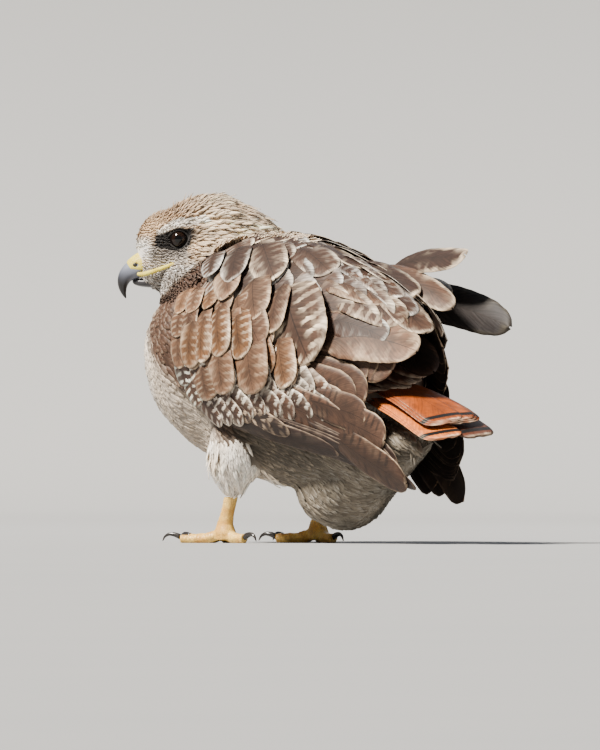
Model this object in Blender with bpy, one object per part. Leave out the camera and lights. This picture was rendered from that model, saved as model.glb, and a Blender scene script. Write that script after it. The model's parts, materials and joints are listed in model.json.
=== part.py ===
"""A red-tailed hawk standing on its two feet, life size, wings folded, head turned to its left.

The bird faces -X, its left side is at -Y, and +Z is up. Sizes are in millimetres here and
become metres when a mesh is made. The origin ends at the middle of the whole bird's footprint,
on the floor.
"""
import math
import random

import bpy
import bmesh
import numpy as np
from mathutils import Vector

MM = 0.001                  # one millimetre in metres
GAP = 0.3                   # clearance between pieces that touch
SEED = 7                    # seed of the small variations between like feathers

# The outer surface of the body with its folded wings: half width, top, widest level and
# underside of the cross-section at each station from breast to wing tips.
STATION_X = (-110, -104, -92, -60, -30, 0, 40, 80, 120, 160, 200, 230)
HALF_WIDTH = (10, 33, 50, 63, 69, 72, 71, 66, 57, 47, 38, 32)
TOP_Z = (140, 164, 187, 204, 213, 217, 213, 203, 188, 169, 141, 117)
WIDEST_Z = (127, 130, 136, 140, 139, 137, 130, 119, 106, 91, 72, 56)
UNDER_Z = (114, 94, 76, 60, 50, 43, 36, 38, 44, 34, 26, 20)

WING_THICKNESS = 9.0        # of the folded wing and of the mantle over the torso
WING_FRONT_X = -30.0        # wrist
MANTLE_FRONT_X = -8.0       # where the mantle comes out from under the neck
BODY_END_X = 128.0          # where the tail starts
SPLIT_ANGLE = 45.0          # mantle above this angle from the top, wing below it
WING_LOW_ANGLE = 116.0      # lower edge of the folded wing
MANTLE_RISE = 4.0           # scapulars lie this much above the wing feathers

FLAT_ANGLE = 0.2            # degrees under which the faces left by a union are made one

HEAD_TURN = math.radians(55.0)          # the head is turned this far to the bird's left
HEAD_AT = Vector((-81.9, -15.9, 0.0))   # middle of the head, seen from above
NECK_BACK = -26.0                       # middle of the neck, along the head's direction
EYE_FORWARD = 6.5
EYE_Z = 217.4
EYE_SIDE = 15.5
EYE_RADIUS = 8.0

FEATHER_THICKNESS = 0.7
WIDE_FEATHER = 28.5         # wider feathers are bent along the shaft
BODY_RADIUS = 70.0          # round the back, which the feathers follow
TILE_TILT = 0.6             # one edge lies this much over the next feather
FOOT_Y = 38.0
FOOT_X = (-4.0, 3.0)        # left and right foot: the middle, where the toes meet
HUB_Z = 7.0                 # height of that middle
ANKLE_Z = 13.0
SHANK_TOP_Z = 33.0
THIGH_X = 8.0
THIGH_Y = 38.0

COLOURS = {
    "brown": (0.30, 0.18, 0.11, 1.0),
    "rufous": (0.51, 0.10, 0.03, 1.0),
    "cream": (0.80, 0.72, 0.60, 1.0),
    "buff": (0.58, 0.47, 0.36, 1.0),
    "horn": (0.25, 0.26, 0.28, 1.0),
    "yellow": (0.70, 0.45, 0.12, 1.0),
    "eye": (0.02, 0.012, 0.008, 1.0),
    "claw": (0.02, 0.02, 0.02, 1.0),
}
ROUGHNESS = {"horn": 0.35, "eye": 0.1, "claw": 0.3, "yellow": 0.5}


def clear_scene():
    """Remove what is in the scene, so that the script can run again."""
    for old in list(bpy.data.objects):
        bpy.data.objects.remove(old, do_unlink=True)


def new_collection(name):
    """Return a new collection that is linked to the scene."""
    collection = bpy.data.collections.new(name)
    bpy.context.scene.collection.children.link(collection)
    return collection


def make_material(name):
    """Return a Principled material with the named colour."""
    material = bpy.data.materials.new(name)
    material.use_nodes = True
    shader = material.node_tree.nodes["Principled BSDF"]
    shader.inputs["Base Color"].default_value = COLOURS[name]
    shader.inputs["Roughness"].default_value = ROUGHNESS.get(name, 0.8)
    shader.inputs["Metallic"].default_value = 0.0
    return material


def lerp(first, last, share):
    """Return the value that lies between two values at this share of the way."""
    return first + (last - first) * share


def smooth_step(value, start, end):
    """Return 0 before start, 1 after end, and an even curve between them."""
    share = min(max((value - start) / (end - start), 0.0), 1.0)
    return share * share * (3.0 - 2.0 * share)


def point_towards(azimuth_vector, forward, side, z, origin):
    """Return the point at these distances along a level direction and to its left."""
    left = Vector((-azimuth_vector.y, azimuth_vector.x, 0.0))
    return origin + azimuth_vector * forward + left * side + Vector((0.0, 0.0, z))


HEAD_FORWARD = Vector((-math.cos(HEAD_TURN), -math.sin(HEAD_TURN), 0.0))
HEAD_LEFT = Vector((-HEAD_FORWARD.y, HEAD_FORWARD.x, 0.0))


def head_point(forward, side, z):
    """Return a point given in the head's own directions: forward, to its left, and height."""
    return point_towards(HEAD_FORWARD, forward, side, z, HEAD_AT)


def body_point(x, angle, height=0.0):
    """Return the point of the body's outer surface at x and this angle from the top.

    The angle is in degrees, positive on the right side. The height is out from the surface.
    """
    turn = math.radians(angle)
    width = float(np.interp(x, STATION_X, HALF_WIDTH))
    top = float(np.interp(x, STATION_X, TOP_Z))
    middle = float(np.interp(x, STATION_X, WIDEST_Z))
    under = float(np.interp(x, STATION_X, UNDER_Z))
    reach = top - middle if math.cos(turn) > 0 else middle - under
    out = Vector((0.0, math.sin(turn) * reach, math.cos(turn) * width))
    out.normalize()
    return Vector((x, width * math.sin(turn), middle + reach * math.cos(turn))) + out * height


def wing_recess(x, angle):
    """Return how far the torso lies inside the outer surface, under mantle and wings."""
    side = abs(angle)
    front = MANTLE_FRONT_X if side < SPLIT_ANGLE - 0.5 else WING_FRONT_X
    along = smooth_step(x, front - 16.0, front)
    around = 1.0 - smooth_step(side, WING_LOW_ANGLE + 16.0, WING_LOW_ANGLE + 42.0)
    return WING_THICKNESS * along * around


def new_object(name, builder):
    """Make an object from a bmesh in millimetres, with its faces pointing out."""
    bmesh.ops.recalc_face_normals(builder, faces=builder.faces)
    bmesh.ops.scale(builder, vec=(MM, MM, MM), verts=builder.verts)
    mesh = bpy.data.meshes.new(name)
    builder.to_mesh(mesh)
    builder.free()
    return bpy.data.objects.new(name, mesh)


def grid_solid(name, outer, inner):
    """Return a closed sheet between two grids of points, split alike on both faces."""
    builder = bmesh.new()
    rows = len(outer)
    columns = len(outer[0])
    front = [[builder.verts.new(point) for point in row] for row in outer]
    back = [[builder.verts.new(point) for point in row] for row in inner]
    for i in range(rows - 1):
        for j in range(columns - 1):
            for grid in (front, back):
                builder.faces.new((grid[i][j], grid[i + 1][j], grid[i + 1][j + 1]))
                builder.faces.new((grid[i][j], grid[i + 1][j + 1], grid[i][j + 1]))
    rim = [(i, 0) for i in range(rows)]
    rim += [(rows - 1, j) for j in range(1, columns)]
    rim += [(i, columns - 1) for i in range(rows - 2, -1, -1)]
    rim += [(0, j) for j in range(columns - 2, 0, -1)]
    for (i, j), (k, m) in zip(rim, rim[1:] + rim[:1]):
        builder.faces.new((front[i][j], front[k][m], back[k][m]))
        builder.faces.new((front[i][j], back[k][m], back[i][j]))
    return new_object(name, builder)


def loft(name, rings):
    """Return a closed solid through rings of points, each end closed by a fan."""
    builder = bmesh.new()
    loops = [[builder.verts.new(point) for point in ring] for ring in rings]
    count = len(rings[0])
    for near, far in zip(loops, loops[1:]):
        for k in range(count):
            after = (k + 1) % count
            builder.faces.new((near[k], far[k], far[after]))
            builder.faces.new((near[k], far[after], near[after]))
    for points, ring in ((rings[0], loops[0]), (rings[-1], loops[-1])):
        centre = builder.verts.new(sum(points, Vector()) / count)
        for k in range(count):
            builder.faces.new((ring[k], ring[(k + 1) % count], centre))
    return new_object(name, builder)


def tube(name, points, radii, sides=8, flatten=1.0):
    """Return a round limb along points, with a radius at each and its height flattened."""
    rings = []
    for k, point in enumerate(points):
        before = points[max(k - 1, 0)]
        after = points[min(k + 1, len(points) - 1)]
        along = (after - before).normalized()
        side = along.cross(Vector((0.0, 0.0, 1.0)))
        if side.length < 0.2:
            side = Vector((0.0, 1.0, 0.0))
        side.normalize()
        up = side.cross(along) * flatten
        turns = [2.0 * math.pi * s / sides for s in range(sides)]
        rings.append([point + (side * math.cos(t) + up * math.sin(t)) * radii[k] for t in turns])
    return loft(name, rings)


def ball(name, centre, radii, segments=12, rings=8):
    """Return an ellipsoid with the given half sizes."""
    builder = bmesh.new()
    bmesh.ops.create_uvsphere(builder, u_segments=segments, v_segments=rings, radius=1.0)
    bmesh.ops.scale(builder, vec=radii, verts=builder.verts)
    bmesh.ops.translate(builder, vec=centre, verts=builder.verts)
    return new_object(name, builder)


def block(name, corner, size, turn=None):
    """Return a box from its lowest corner and size, to cut with."""
    builder = bmesh.new()
    bmesh.ops.create_cube(builder, size=1.0)
    bmesh.ops.scale(builder, vec=size, verts=builder.verts)
    bmesh.ops.translate(builder, vec=Vector(corner) + Vector(size) / 2.0, verts=builder.verts)
    if turn is not None:
        bmesh.ops.transform(builder, matrix=turn, verts=builder.verts)
    return new_object(name, builder)


def largest_piece(piece):
    """Keep only the largest closed surface of an object's mesh."""
    builder = bmesh.new()
    builder.from_mesh(piece.data)
    left = set(builder.faces)
    islands = []
    while left:
        seed = left.pop()
        island = [seed]
        queue = [seed]
        while queue:
            face = queue.pop()
            for edge in face.edges:
                for other in edge.link_faces:
                    if other in left:
                        left.remove(other)
                        island.append(other)
                        queue.append(other)
        islands.append(island)
    islands.sort(key=lambda faces: sum(face.calc_area() for face in faces), reverse=True)
    scraps = [face for island in islands[1:] for face in island]
    bmesh.ops.delete(builder, geom=scraps, context="FACES")
    loose = [vert for vert in builder.verts if not vert.link_faces]
    bmesh.ops.delete(builder, geom=loose, context="VERTS")
    simpler = builder.copy()
    bmesh.ops.dissolve_limit(simpler, angle_limit=math.radians(FLAT_ANGLE), verts=simpler.verts,
                             edges=simpler.edges)
    for mesh in (builder, simpler):
        bmesh.ops.triangulate(mesh, faces=mesh.faces)
    closed = all(edge.is_manifold for edge in simpler.edges)
    kept = simpler if closed else builder
    kept.to_mesh(piece.data)
    builder.free()
    simpler.free()


def combine(target, others, operation, solver="EXACT"):
    """Union or cut the target with other objects in one step, and remove them."""
    helpers = new_collection("cutters")
    bpy.context.scene.collection.objects.link(target)
    for other in others:
        helpers.objects.link(other)
        other.hide_render = True
        other.display_type = "WIRE"
    step = target.modifiers.new("combine", "BOOLEAN")
    step.operation = operation
    step.operand_type = "COLLECTION"
    step.collection = helpers
    step.solver = solver
    target.update_tag()
    bpy.context.view_layer.update()
    graph = bpy.context.evaluated_depsgraph_get()
    result = bpy.data.meshes.new_from_object(target.evaluated_get(graph))
    target.modifiers.clear()
    target.data = result
    bpy.context.scene.collection.objects.unlink(target)
    for other in others:
        bpy.data.objects.remove(other, do_unlink=True)
    bpy.data.collections.remove(helpers)
    largest_piece(target)
    return target


def join(target, others):
    """Fuse the others into the target."""
    return combine(target, others, "UNION")


def grown(piece, distance=GAP):
    """Return a copy of a piece whose skin is moved out by the distance, to cut with."""
    builder = bmesh.new()
    builder.from_mesh(piece.data)
    builder.normal_update()
    shifts = [vert.normal * distance * MM * vert.calc_shell_factor() for vert in builder.verts]
    for vert, shift in zip(builder.verts, shifts):
        vert.co += shift
    mesh = bpy.data.meshes.new(piece.name + "_clearance")
    builder.to_mesh(mesh)
    builder.free()
    return bpy.data.objects.new(piece.name + "_clearance", mesh)


def cut(target, cutters):
    """Take the cutters' room out of the target."""
    return combine(target, cutters, "DIFFERENCE")


# Feathers

VANE_SHARES = (0.0, 0.34, 0.75, 1.0)
VANE_WIDTHS = (0.4, 0.9, 1.0, 0.45)


def vane(name, points, normals, width, camber=0.0, tilt=0.0, thickness=FEATHER_THICKNESS):
    """Return one feather: a thin tapered blade along points, with a rounded tip.

    Camber lowers both edges, and tilt raises one edge over its neighbour like a roof tile.
    """
    outer = []
    inner = []
    last = len(points) - 1
    for k, point in enumerate(points):
        along = (points[min(k + 1, last)] - points[max(k - 1, 0)]).normalized()
        normal = normals[k]
        across = along.cross(normal).normalized()
        share = k / last
        half = 0.5 * width * float(np.interp(share, VANE_SHARES, VANE_WIDTHS))
        drop = camber * (2.0 * half / width) ** 2
        lean = tilt * 2.0 * half / width
        left = point - across * half - normal * (drop - lean)
        right = point + across * half - normal * (drop + lean)
        middle = point.copy()
        top = [left, middle, right] if width > WIDE_FEATHER else [left, right]
        outer.append(top)
        inner.append([place - normal * thickness for place in top])
    return grid_solid(name, outer, inner)


def surface_vane(name, start, end, width, heights, tilt=0.0, steps=3):
    """Return a feather that lies on the body's outer surface, from start to end.

    Start and end are x and angle, and heights are those of its root, middle and tip.
    """
    points = []
    normals = []
    for k in range(steps + 1):
        share = k / steps
        x = lerp(start[0], end[0], share)
        angle = lerp(start[1], end[1], share)
        height = float(np.interp(share, (0.0, VANE_SHARES[1], 1.0), heights))
        low = body_point(x, angle, 0.0)
        points.append(body_point(x, angle, height))
        normals.append((body_point(x, angle, 1.0) - low).normalized())
    along = end[0] - start[0]
    around = math.radians(end[1] - start[1]) * BODY_RADIUS
    camber = width * width / (8.0 * BODY_RADIUS) * along * along / (along * along + around * around)
    return vane(name, points, normals, width, camber, tilt)


def feather_row(side, count, x_range, root_angles, length, drop, width, heights, chance):
    """Return a row of like feathers, from front to back, with small seeded differences.

    The drop is how many degrees further down the side each tip lies than its root.
    """
    feathers = []
    for k in range(count):
        share = k / max(count - 1, 1)
        x = lerp(x_range[0], x_range[1], share) + chance.uniform(-1.2, 1.2)
        angle = lerp(root_angles[0], root_angles[1], share)
        reach = lerp(length[0], length[1], share) * chance.uniform(0.95, 1.05)
        end_angle = angle + lerp(drop[0], drop[1], share) + chance.uniform(-1.5, 1.5)
        wide = lerp(width[0], width[1], share)
        feathers.append(surface_vane("vane", (x, side * angle), (x + reach, side * end_angle),
                                     wide, heights, tilt=TILE_TILT * side))
    return feathers


def shell_patch(name, x_from, x_to, angle_from, angle_to, rise):
    """Return a slab over the torso between two x and two angles, GAP clear of the torso."""
    xs = [x_from] + [x for x in BODY_XS if x_from + 4 < x < x_to - 4] + [x_to]
    edges = [a for a in BODY_ANGLES if min(angle_from, angle_to) + 3 < a < max(angle_from, angle_to) - 3]
    if angle_from > angle_to:
        edges.reverse()
    angles = [angle_from] + edges + [angle_to]
    outer = [[body_point(x, a, rise) for a in angles] for x in xs]
    inner = [[body_point(x, a, GAP + 0.15 - WING_THICKNESS) for a in angles] for x in xs]
    return grid_solid(name, outer, inner)


BODY_XS = (-110, -104, -92, -75, -60, -46, -38, -30, -24, -16, -8, 10, 30, 50, 70, 90, 110, 128)
BODY_ANGLES = tuple(range(-180, 180, 15))


def make_torso():
    """The breast, back and belly: one loft with a recess for the folded wings and the mantle."""
    rings = []
    for x in BODY_XS:
        rings.append([body_point(x, a, -wing_recess(x, a)) for a in BODY_ANGLES])
    return loft("torso", rings)


# Feathers of the far side that the wind has lifted: points from root to tip, and the width.
LIFTED = (
    (((95, 31, 188), (125, 38, 202), (155, 40, 203), (178, 40, 206)), 25.0, (0.45, -0.6, 0.65)),
    (((100, 36, 181), (116, 41, 186), (134, 45, 185), (152, 46, 177)), 20.0, (0.3, -0.3, 0.9)),
    (((104, 34, 178), (130, 47, 172), (165, 55, 166), (205, 61, 154)), 29.0, (0.6, -0.75, 0.15)),
)


def make_mantle(chance):
    """The back's slab with three tiers of scapular feathers on each side, some lifted."""
    angle = SPLIT_ANGLE - 1.5
    piece = shell_patch("mantle", MANTLE_FRONT_X, 116.0, -angle, angle, MANTLE_RISE - 1.0)
    rise = MANTLE_RISE
    lying = (rise - 3.0, rise + 2.0, rise + 2.0)
    middle = (rise - 3.0, rise + 3.0, rise + 3.2)
    upper = (rise - 3.0, rise + 4.0, rise + 4.2)
    feathers = []
    for side in (-1, 1):
        feathers += feather_row(side, 5, (0, 94), (40, 35), (26, 54), (26, 16), (29, 33),
                                lying, chance)
        feathers += feather_row(side, 5, (-4, 108), (24, 18), (26, 46), (24, 5), (27, 30),
                                middle, chance)
        feathers += feather_row(side, 4, (2, 84), (5, 6), (26, 40), (19, 7), (24, 27),
                                upper, chance)
    for places, width, facing in LIFTED:
        points = [Vector(place) for place in places]
        feathers.append(vane("lifted", points, [Vector(facing).normalized()] * 4, width, 3.0))
    return join(piece, feathers)


def make_wing(name, side, chance):
    """One folded wing: its slab, the tiers of coverts, and the long flight feathers."""
    piece = shell_patch(name, WING_FRONT_X, 118.0, side * (SPLIT_ANGLE + 1.5),
                        side * WING_LOW_ANGLE, -1.0)
    primary = (-5.0, -3.0, -2.6)
    secondary = (-4.5, -1.4, -1.0)
    tertial = (-4.0, 0.4, 1.2)
    greater = (-4.0, -0.2, 0.3)
    median = (-4.0, 0.7, 1.2)
    lesser = (-4.0, 1.3, 1.6)
    feathers = []
    if side < 0:
        feathers += feather_row(side, 6, (46, 98), (106, 102), (163, 96), (27, -2), (23, 29),
                                primary, chance)
        feathers += feather_row(side, 5, (78, 108), (98, 70), (92, 102), (4, -26), (30, 36),
                                secondary, chance)
        feathers += feather_row(side, 2, (104, 110), (68, 64), (86, 66), (-30, -26), (34, 32),
                                tertial, chance)
    else:
        feathers += feather_row(side, 6, (40, 96), (106, 100), (152, 78), (26, 10), (22, 26),
                                primary, chance)
        feathers += feather_row(side, 5, (78, 104), (98, 68), (70, 56), (4, -16), (30, 38),
                                secondary, chance)
        feathers += feather_row(side, 1, (106, 106), (66, 66), (52, 52), (-24, -24), (32, 32),
                                tertial, chance)
    feathers += feather_row(side, 6, (0, 98), (102, 90), (22, 52), (14, 5), (23, 28),
                            secondary, chance)
    feathers += feather_row(side, 6, (-12, 88), (87, 76), (3, 32), (20, 14), (22, 27),
                            greater, chance)
    feathers += feather_row(side, 6, (-16, 74), (69, 62), (2, 22), (21, 17), (20, 25),
                            median, chance)
    feathers += feather_row(side, 4, (-18, 36), (54, 55), (2, 12), (17, 14), (21, 22),
                            lesser, chance)
    feathers += feather_row(side, 2, (-10, 2), (104, 105), (34, 40), (20, 20), (12, 12),
                            secondary, chance)
    return join(piece, feathers)


# Tail: its top surface, as height over the floor along x, with the left side a little lower.

TAIL_X = (BODY_END_X + 0.4, 160.0, 200.0, 236.0, 256.0)
TAIL_Z = (121.0, 115.0, 103.0, 89.0, 80.0)
TAIL_ROLL = 0.22            # rise to the right, per millimetre across
RECTRICES = 6               # on each side
TAIL_MIDDLE_Y = -6.0


def tail_point(x, y, height):
    """Return a point of the tail's top surface at x and y, raised by a height."""
    level = float(np.interp(x, TAIL_X, TAIL_Z)) + TAIL_ROLL * (y - TAIL_MIDDLE_Y)
    return Vector((x, y, level + height))


def tail_feather(start, end, width, height, lower):
    """Return one tail feather between two places given as x and y; its tip lies lower."""
    points = []
    normals = []
    for share in (0.0, 0.4, 0.8, 1.0):
        x = lerp(start[0], end[0], share)
        y = lerp(start[1], end[1], share)
        points.append(tail_point(x, y, height - lower * share))
        normals.append(Vector((0.25, -TAIL_ROLL, 1.0)).normalized())
    return vane("rectrix", points, normals, width, width * width / 900.0)


def make_tail():
    """The tail: its root with the coverts, and twelve feathers stacked from the middle down."""
    start_x = TAIL_X[0]
    rings = []
    for x, half, thick in ((start_x, 27, 13), (146, 25, 11), (162, 21, 6), (176, 12, 2.5)):
        turns = [2.0 * math.pi * s / 12 for s in range(12)]
        middle = tail_point(x, TAIL_MIDDLE_Y, -8.0)
        rings.append([middle + Vector((0.0, half * math.cos(t),
                                       thick * math.sin(t) + TAIL_ROLL * half * math.cos(t)))
                      for t in turns])
    piece = loft("tail", rings)
    feathers = []
    for k in range(RECTRICES):
        for side in (-1, 1):
            share = k / (RECTRICES - 1)
            layer = -2.2 * k - (1.1 if side > 0 else 0.0)
            root = (start_x + 14.0, TAIL_MIDDLE_Y + side * (2.0 + 1.6 * k))
            tip = (lerp(238.0, 252.0, share), TAIL_MIDDLE_Y + side * (4.0 + 3.6 * k) + 6.0 * share)
            feathers.append(tail_feather(root, tip, 34.0, layer, 3.0 * share))
    for k in range(5):
        place = (start_x + 4.0, TAIL_MIDDLE_Y + (k - 2) * 9.0)
        reach = (178.0 - 4.0 * abs(k - 2), TAIL_MIDDLE_Y + (k - 2) * 12.0)
        feathers.append(tail_feather(place, reach, 22.0, 2.4 - 0.7 * (k % 2), 0.0))
    return join(piece, feathers)


def make_head_and_neck(torso):
    """The head and the neck: modelled as one, then parted by a thin slanting cut."""
    sections = (  # forward, top, underside, half width
        (36.5, 207, 190, 8.0), (33, 218, 186, 11.5), (27, 227.5, 181, 15.5), (18, 235, 176, 19.5),
        (6.5, 240.5, 172, 22.5), (-8, 245.5, 169, 26.0), (-22, 247.5, 168, 28.0),
        (-36, 245, 170, 26.0), (-46, 238, 178, 18.0))
    rings = []
    for forward, top, under, half in sections:
        level = lerp(under, top, 0.52)
        ring = []
        for s in range(16):
            turn = 2.0 * math.pi * s / 16
            reach = top - level if math.sin(turn) > 0 else level - under
            ring.append(head_point(forward, half * math.cos(turn), level + reach * math.sin(turn)))
        rings.append(ring)
    skull = loft("head", rings)
    neck_rings = []
    for z, radius, half, shift in ((150, 51, 51, 13), (178, 48, 46, 11), (195, 45, 38, 7),
                                   (210, 43, 31, 3), (222, 40, 27, 1), (234, 32, 22, 0),
                                   (245, 16, 12, 0)):
        ring = []
        for s in range(16):
            turn = 2.0 * math.pi * s / 16
            ring.append(head_point(NECK_BACK + radius * math.cos(turn),
                                   shift + half * math.sin(turn), z))
        neck_rings.append(ring)
    column = loft("neck", neck_rings)
    brows = []
    for side in (-1, 1):
        brow = [head_point(21, side * 15.0, 224.5), head_point(12, side * 20.5, 227.0),
                head_point(2, side * 22.5, 227.5), head_point(-9, side * 23.0, 224.5)]
        brows.append(tube("brow", brow, (2.0, 3.2, 3.4, 1.6), 6))
    whole = join(skull, [column] + brows)
    cut(whole, [grown(torso)])
    return whole


def half_space(name, place, normal, size=400.0):
    """Return a large block whose one face passes through the place, on the normal's side."""
    turn = normal.normalized().to_track_quat("Z", "Y").to_matrix().to_4x4()
    turn.translation = place
    return block(name, (-size / 2, -size / 2, 0.0), (size, size, size), turn)


def part_head(whole):
    """Part the head from the neck and sink the eyes' sockets into it."""
    place = head_point(-14, 0.0, 215.0)
    normal = (HEAD_FORWARD + Vector((0.0, 0.0, 0.25))).normalized()
    neck = whole.copy()
    neck.data = whole.data.copy()
    neck.name = "neck"
    half_gap = normal * GAP / 2.0
    cut(neck, [half_space("front", place - half_gap, normal)])
    head = whole
    head.name = "head"
    cut(head, [half_space("back", place + half_gap, -normal)])
    return head, neck


def lid_ring(side):
    """Return the rim of skin round one eye."""
    builder = bmesh.new()
    centre = head_point(EYE_FORWARD, side * (EYE_SIDE + 4.2), EYE_Z)
    out = (HEAD_LEFT * side + HEAD_FORWARD * 0.25).normalized()
    right = out.cross(Vector((0.0, 0.0, 1.0))).normalized()
    up = right.cross(out)
    rings = []
    for s in range(12):
        turn = 2.0 * math.pi * s / 12
        spoke = right * math.cos(turn) + up * math.sin(turn)
        ring = []
        for q in range(5):
            bend = 2.0 * math.pi * q / 5
            ring.append(centre + spoke * (7.0 + 1.5 * math.cos(bend)) + out * 1.5 * math.sin(bend))
        rings.append([builder.verts.new(point) for point in ring])
    for near, far in zip(rings, rings[1:] + rings[:1]):
        for q in range(5):
            after = (q + 1) % 5
            builder.faces.new((near[q], far[q], far[after]))
            builder.faces.new((near[q], far[after], near[after]))
    return new_object("lid", builder)


def make_eye(name, side, radius):
    """Return one eyeball."""
    return ball(name, head_point(EYE_FORWARD, side * EYE_SIDE, EYE_Z), (radius,) * 3, 12, 8)


def bill_half(name, profile, half_widths):
    """Return half of the bill as a loft along its length: centre, top and underside points."""
    rings = []
    for (middle, top, under), half in zip(profile, half_widths):
        ring = []
        for s in range(10):
            turn = 2.0 * math.pi * s / 10
            c, t = math.cos(turn), math.sin(turn)
            edge = top if t > 0 else under
            forward = middle[0] + (edge[0] - middle[0]) * abs(t)
            z = middle[1] + (edge[1] - middle[1]) * abs(t)
            ring.append(head_point(forward, half * c, z))
        rings.append(ring)
    return loft(name, rings)


def make_bill(head):
    """The hooked upper bill with its cere and nostrils, and the lower bill under it."""
    upper = bill_half("beak_upper", (
        ((33.0, 198.0), (34.0, 209.0), (33.0, 190.5)),
        ((39.0, 196.5), (40.5, 203.5), (38.0, 188.5)),
        ((43.5, 193.5), (46.5, 199.0), (41.0, 187.5)),
        ((46.5, 189.5), (51.0, 192.0), (42.5, 186.0)),
        ((47.5, 184.0), (51.2, 184.5), (44.0, 183.0)),
        ((46.8, 178.5), (48.8, 179.0), (44.8, 178.0)),
        ((44.8, 174.7), (45.5, 174.8), (44.2, 174.5))),
        (9.5, 8.0, 6.6, 5.2, 3.6, 2.0, 0.6))
    lower = bill_half("beak_lower", (
        ((26.0, 184.0), (26.0, 187.8), (26.0, 179.0)),
        ((33.0, 183.8), (33.0, 187.2), (33.0, 179.0)),
        ((39.0, 183.4), (39.0, 186.2), (38.5, 180.2)),
        ((42.0, 183.0), (42.6, 184.4), (41.4, 181.4))),
        (8.0, 7.4, 5.4, 2.4))
    nostrils = [ball("nostril", head_point(38.5, side * 7.6, 198.0), (1.6, 1.6, 1.9), 8, 6)
                for side in (-1, 1)]
    cut(upper, nostrils + [grown(head)])
    cut(lower, [grown(head), grown(upper)])
    return upper, lower


def gape(side):
    """Return the groove of the mouth's corner, which runs back under the eye."""
    line = [head_point(36, side * 8.2, 189.5), head_point(28, side * 16.5, 192.5),
            head_point(18, side * 21.0, 196.5), head_point(8, side * 23.5, 201.0)]
    return tube("gape", line, (1.2, 1.3, 1.2, 0.7), 6)


def make_thigh(name, side, chance):
    """The feathered thigh, which ends above the ankle in short hanging locks."""
    rings = []
    for z, x, rx, ry in ((100, 14, 22, 13), (84, 12, 25, 15), (64, 8, 24, 18.5), (50, 4, 19, 16),
                         (40, 4, 12.5, 11.5), (SHANK_TOP_Z + GAP, 5, 7.0, 6.5)):
        ring = []
        for s in range(14):
            turn = 2.0 * math.pi * s / 14
            ring.append(Vector((x + rx * math.cos(turn), side * THIGH_Y + ry * math.sin(turn), z)))
        rings.append(ring)
    piece = loft(name, rings)
    locks = []
    for k in range(9):
        turn = 2.0 * math.pi * (k + 0.5) / 9
        out = Vector((math.cos(turn), math.sin(turn), 0.0))
        wide = chance.uniform(0.85, 1.1)
        root = Vector((THIGH_X - 2.0, side * THIGH_Y, 66.0)) + out * 14.0
        bend = Vector((THIGH_X - 3.0, side * THIGH_Y, 47.0)) + out * 17.5 * wide
        tip = Vector((THIGH_X - 2.0, side * THIGH_Y, 34.0)) + out * 14.5 * wide
        points = [root, lerp(root, bend, 0.6), bend, tip]
        locks.append(vane("lock", points, [out] * 4, 10.0, 0.5, 0.0, 1.0))
    return join(piece, locks)


def make_shank(name, side):
    """The scaled lower leg from the thigh's end to the foot."""
    x = FOOT_X[0] if side < 0 else FOOT_X[1]
    points = [Vector((x, side * FOOT_Y, ANKLE_Z + GAP)), Vector((x + 2.5, side * FOOT_Y, 20.0)),
              Vector((x + 5.5, side * FOOT_Y, 27.0)), Vector((x + 7.5, side * FOOT_Y, SHANK_TOP_Z))]
    rings = []
    for point, (rx, ry) in zip(points, ((6.4, 5.6), (5.2, 4.8), (5.0, 4.7), (5.3, 5.0))):
        turns = [2.0 * math.pi * s / 12 for s in range(12)]
        rings.append([point + Vector((rx * math.cos(t), ry * math.sin(t), 0.0)) for t in turns])
    return loft(name, rings)


# Toes: direction from straight ahead, length, and radius at the root.
TOES = ((0.0, 43.0, 5.2), (38.0, 31.0, 5.4), (-40.0, 33.0, 4.8), (176.0, 22.0, 5.4))
SOLE_CUT = 0.8              # how deep the flats are cut into the pads
CLAW_REACH = 15.0
CLAW_ROOT_Z = 3.6
CLAW_ARCH = 3.6
CLAW_FALL = 2.4


def toe_direction(side, angle):
    """Return the level direction of a toe; a positive angle is towards the body's middle."""
    turn = math.radians(180.0 + side * angle)
    return Vector((math.cos(turn), math.sin(turn), 0.0))


def make_foot(name, side):
    """The foot: a middle and four jointed toes with padded soles cut flat."""
    x = FOOT_X[0] if side < 0 else FOOT_X[1]
    middle = Vector((x, side * FOOT_Y, HUB_Z))
    rings = []
    for z, rx, ry in ((2.0, 7.5, 7.0), (HUB_Z, 8.6, 8.0), (ANKLE_Z, 6.6, 5.8)):
        turns = [2.0 * math.pi * s / 12 for s in range(12)]
        rings.append([Vector((x + rx * math.cos(t), side * FOOT_Y + ry * math.sin(t), z))
                      for t in turns])
    piece = loft(name, rings)
    toes = []
    for angle, length, radius in TOES:
        way = toe_direction(side, angle)
        points = []
        radii = []
        joints = 3 if length > 25 else 2
        for k in range(2 * joints + 1):
            share = k / (2 * joints)
            swell = 1.0 if k % 2 == 0 else 0.84
            size = lerp(radius, radius * 0.72, share) * swell
            lift = lerp(HUB_Z, radius * 0.72 - SOLE_CUT, min(1.0, 2.2 * share))
            points.append(middle + way * length * share + Vector((0, 0, lift - HUB_Z)))
            radii.append(size)
        toes.append(tube("toe", points, radii, 6))
    join(piece, toes)
    return cut(piece, [block("floor", (-300, -300, -50), (600, 600, 50))])


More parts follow.
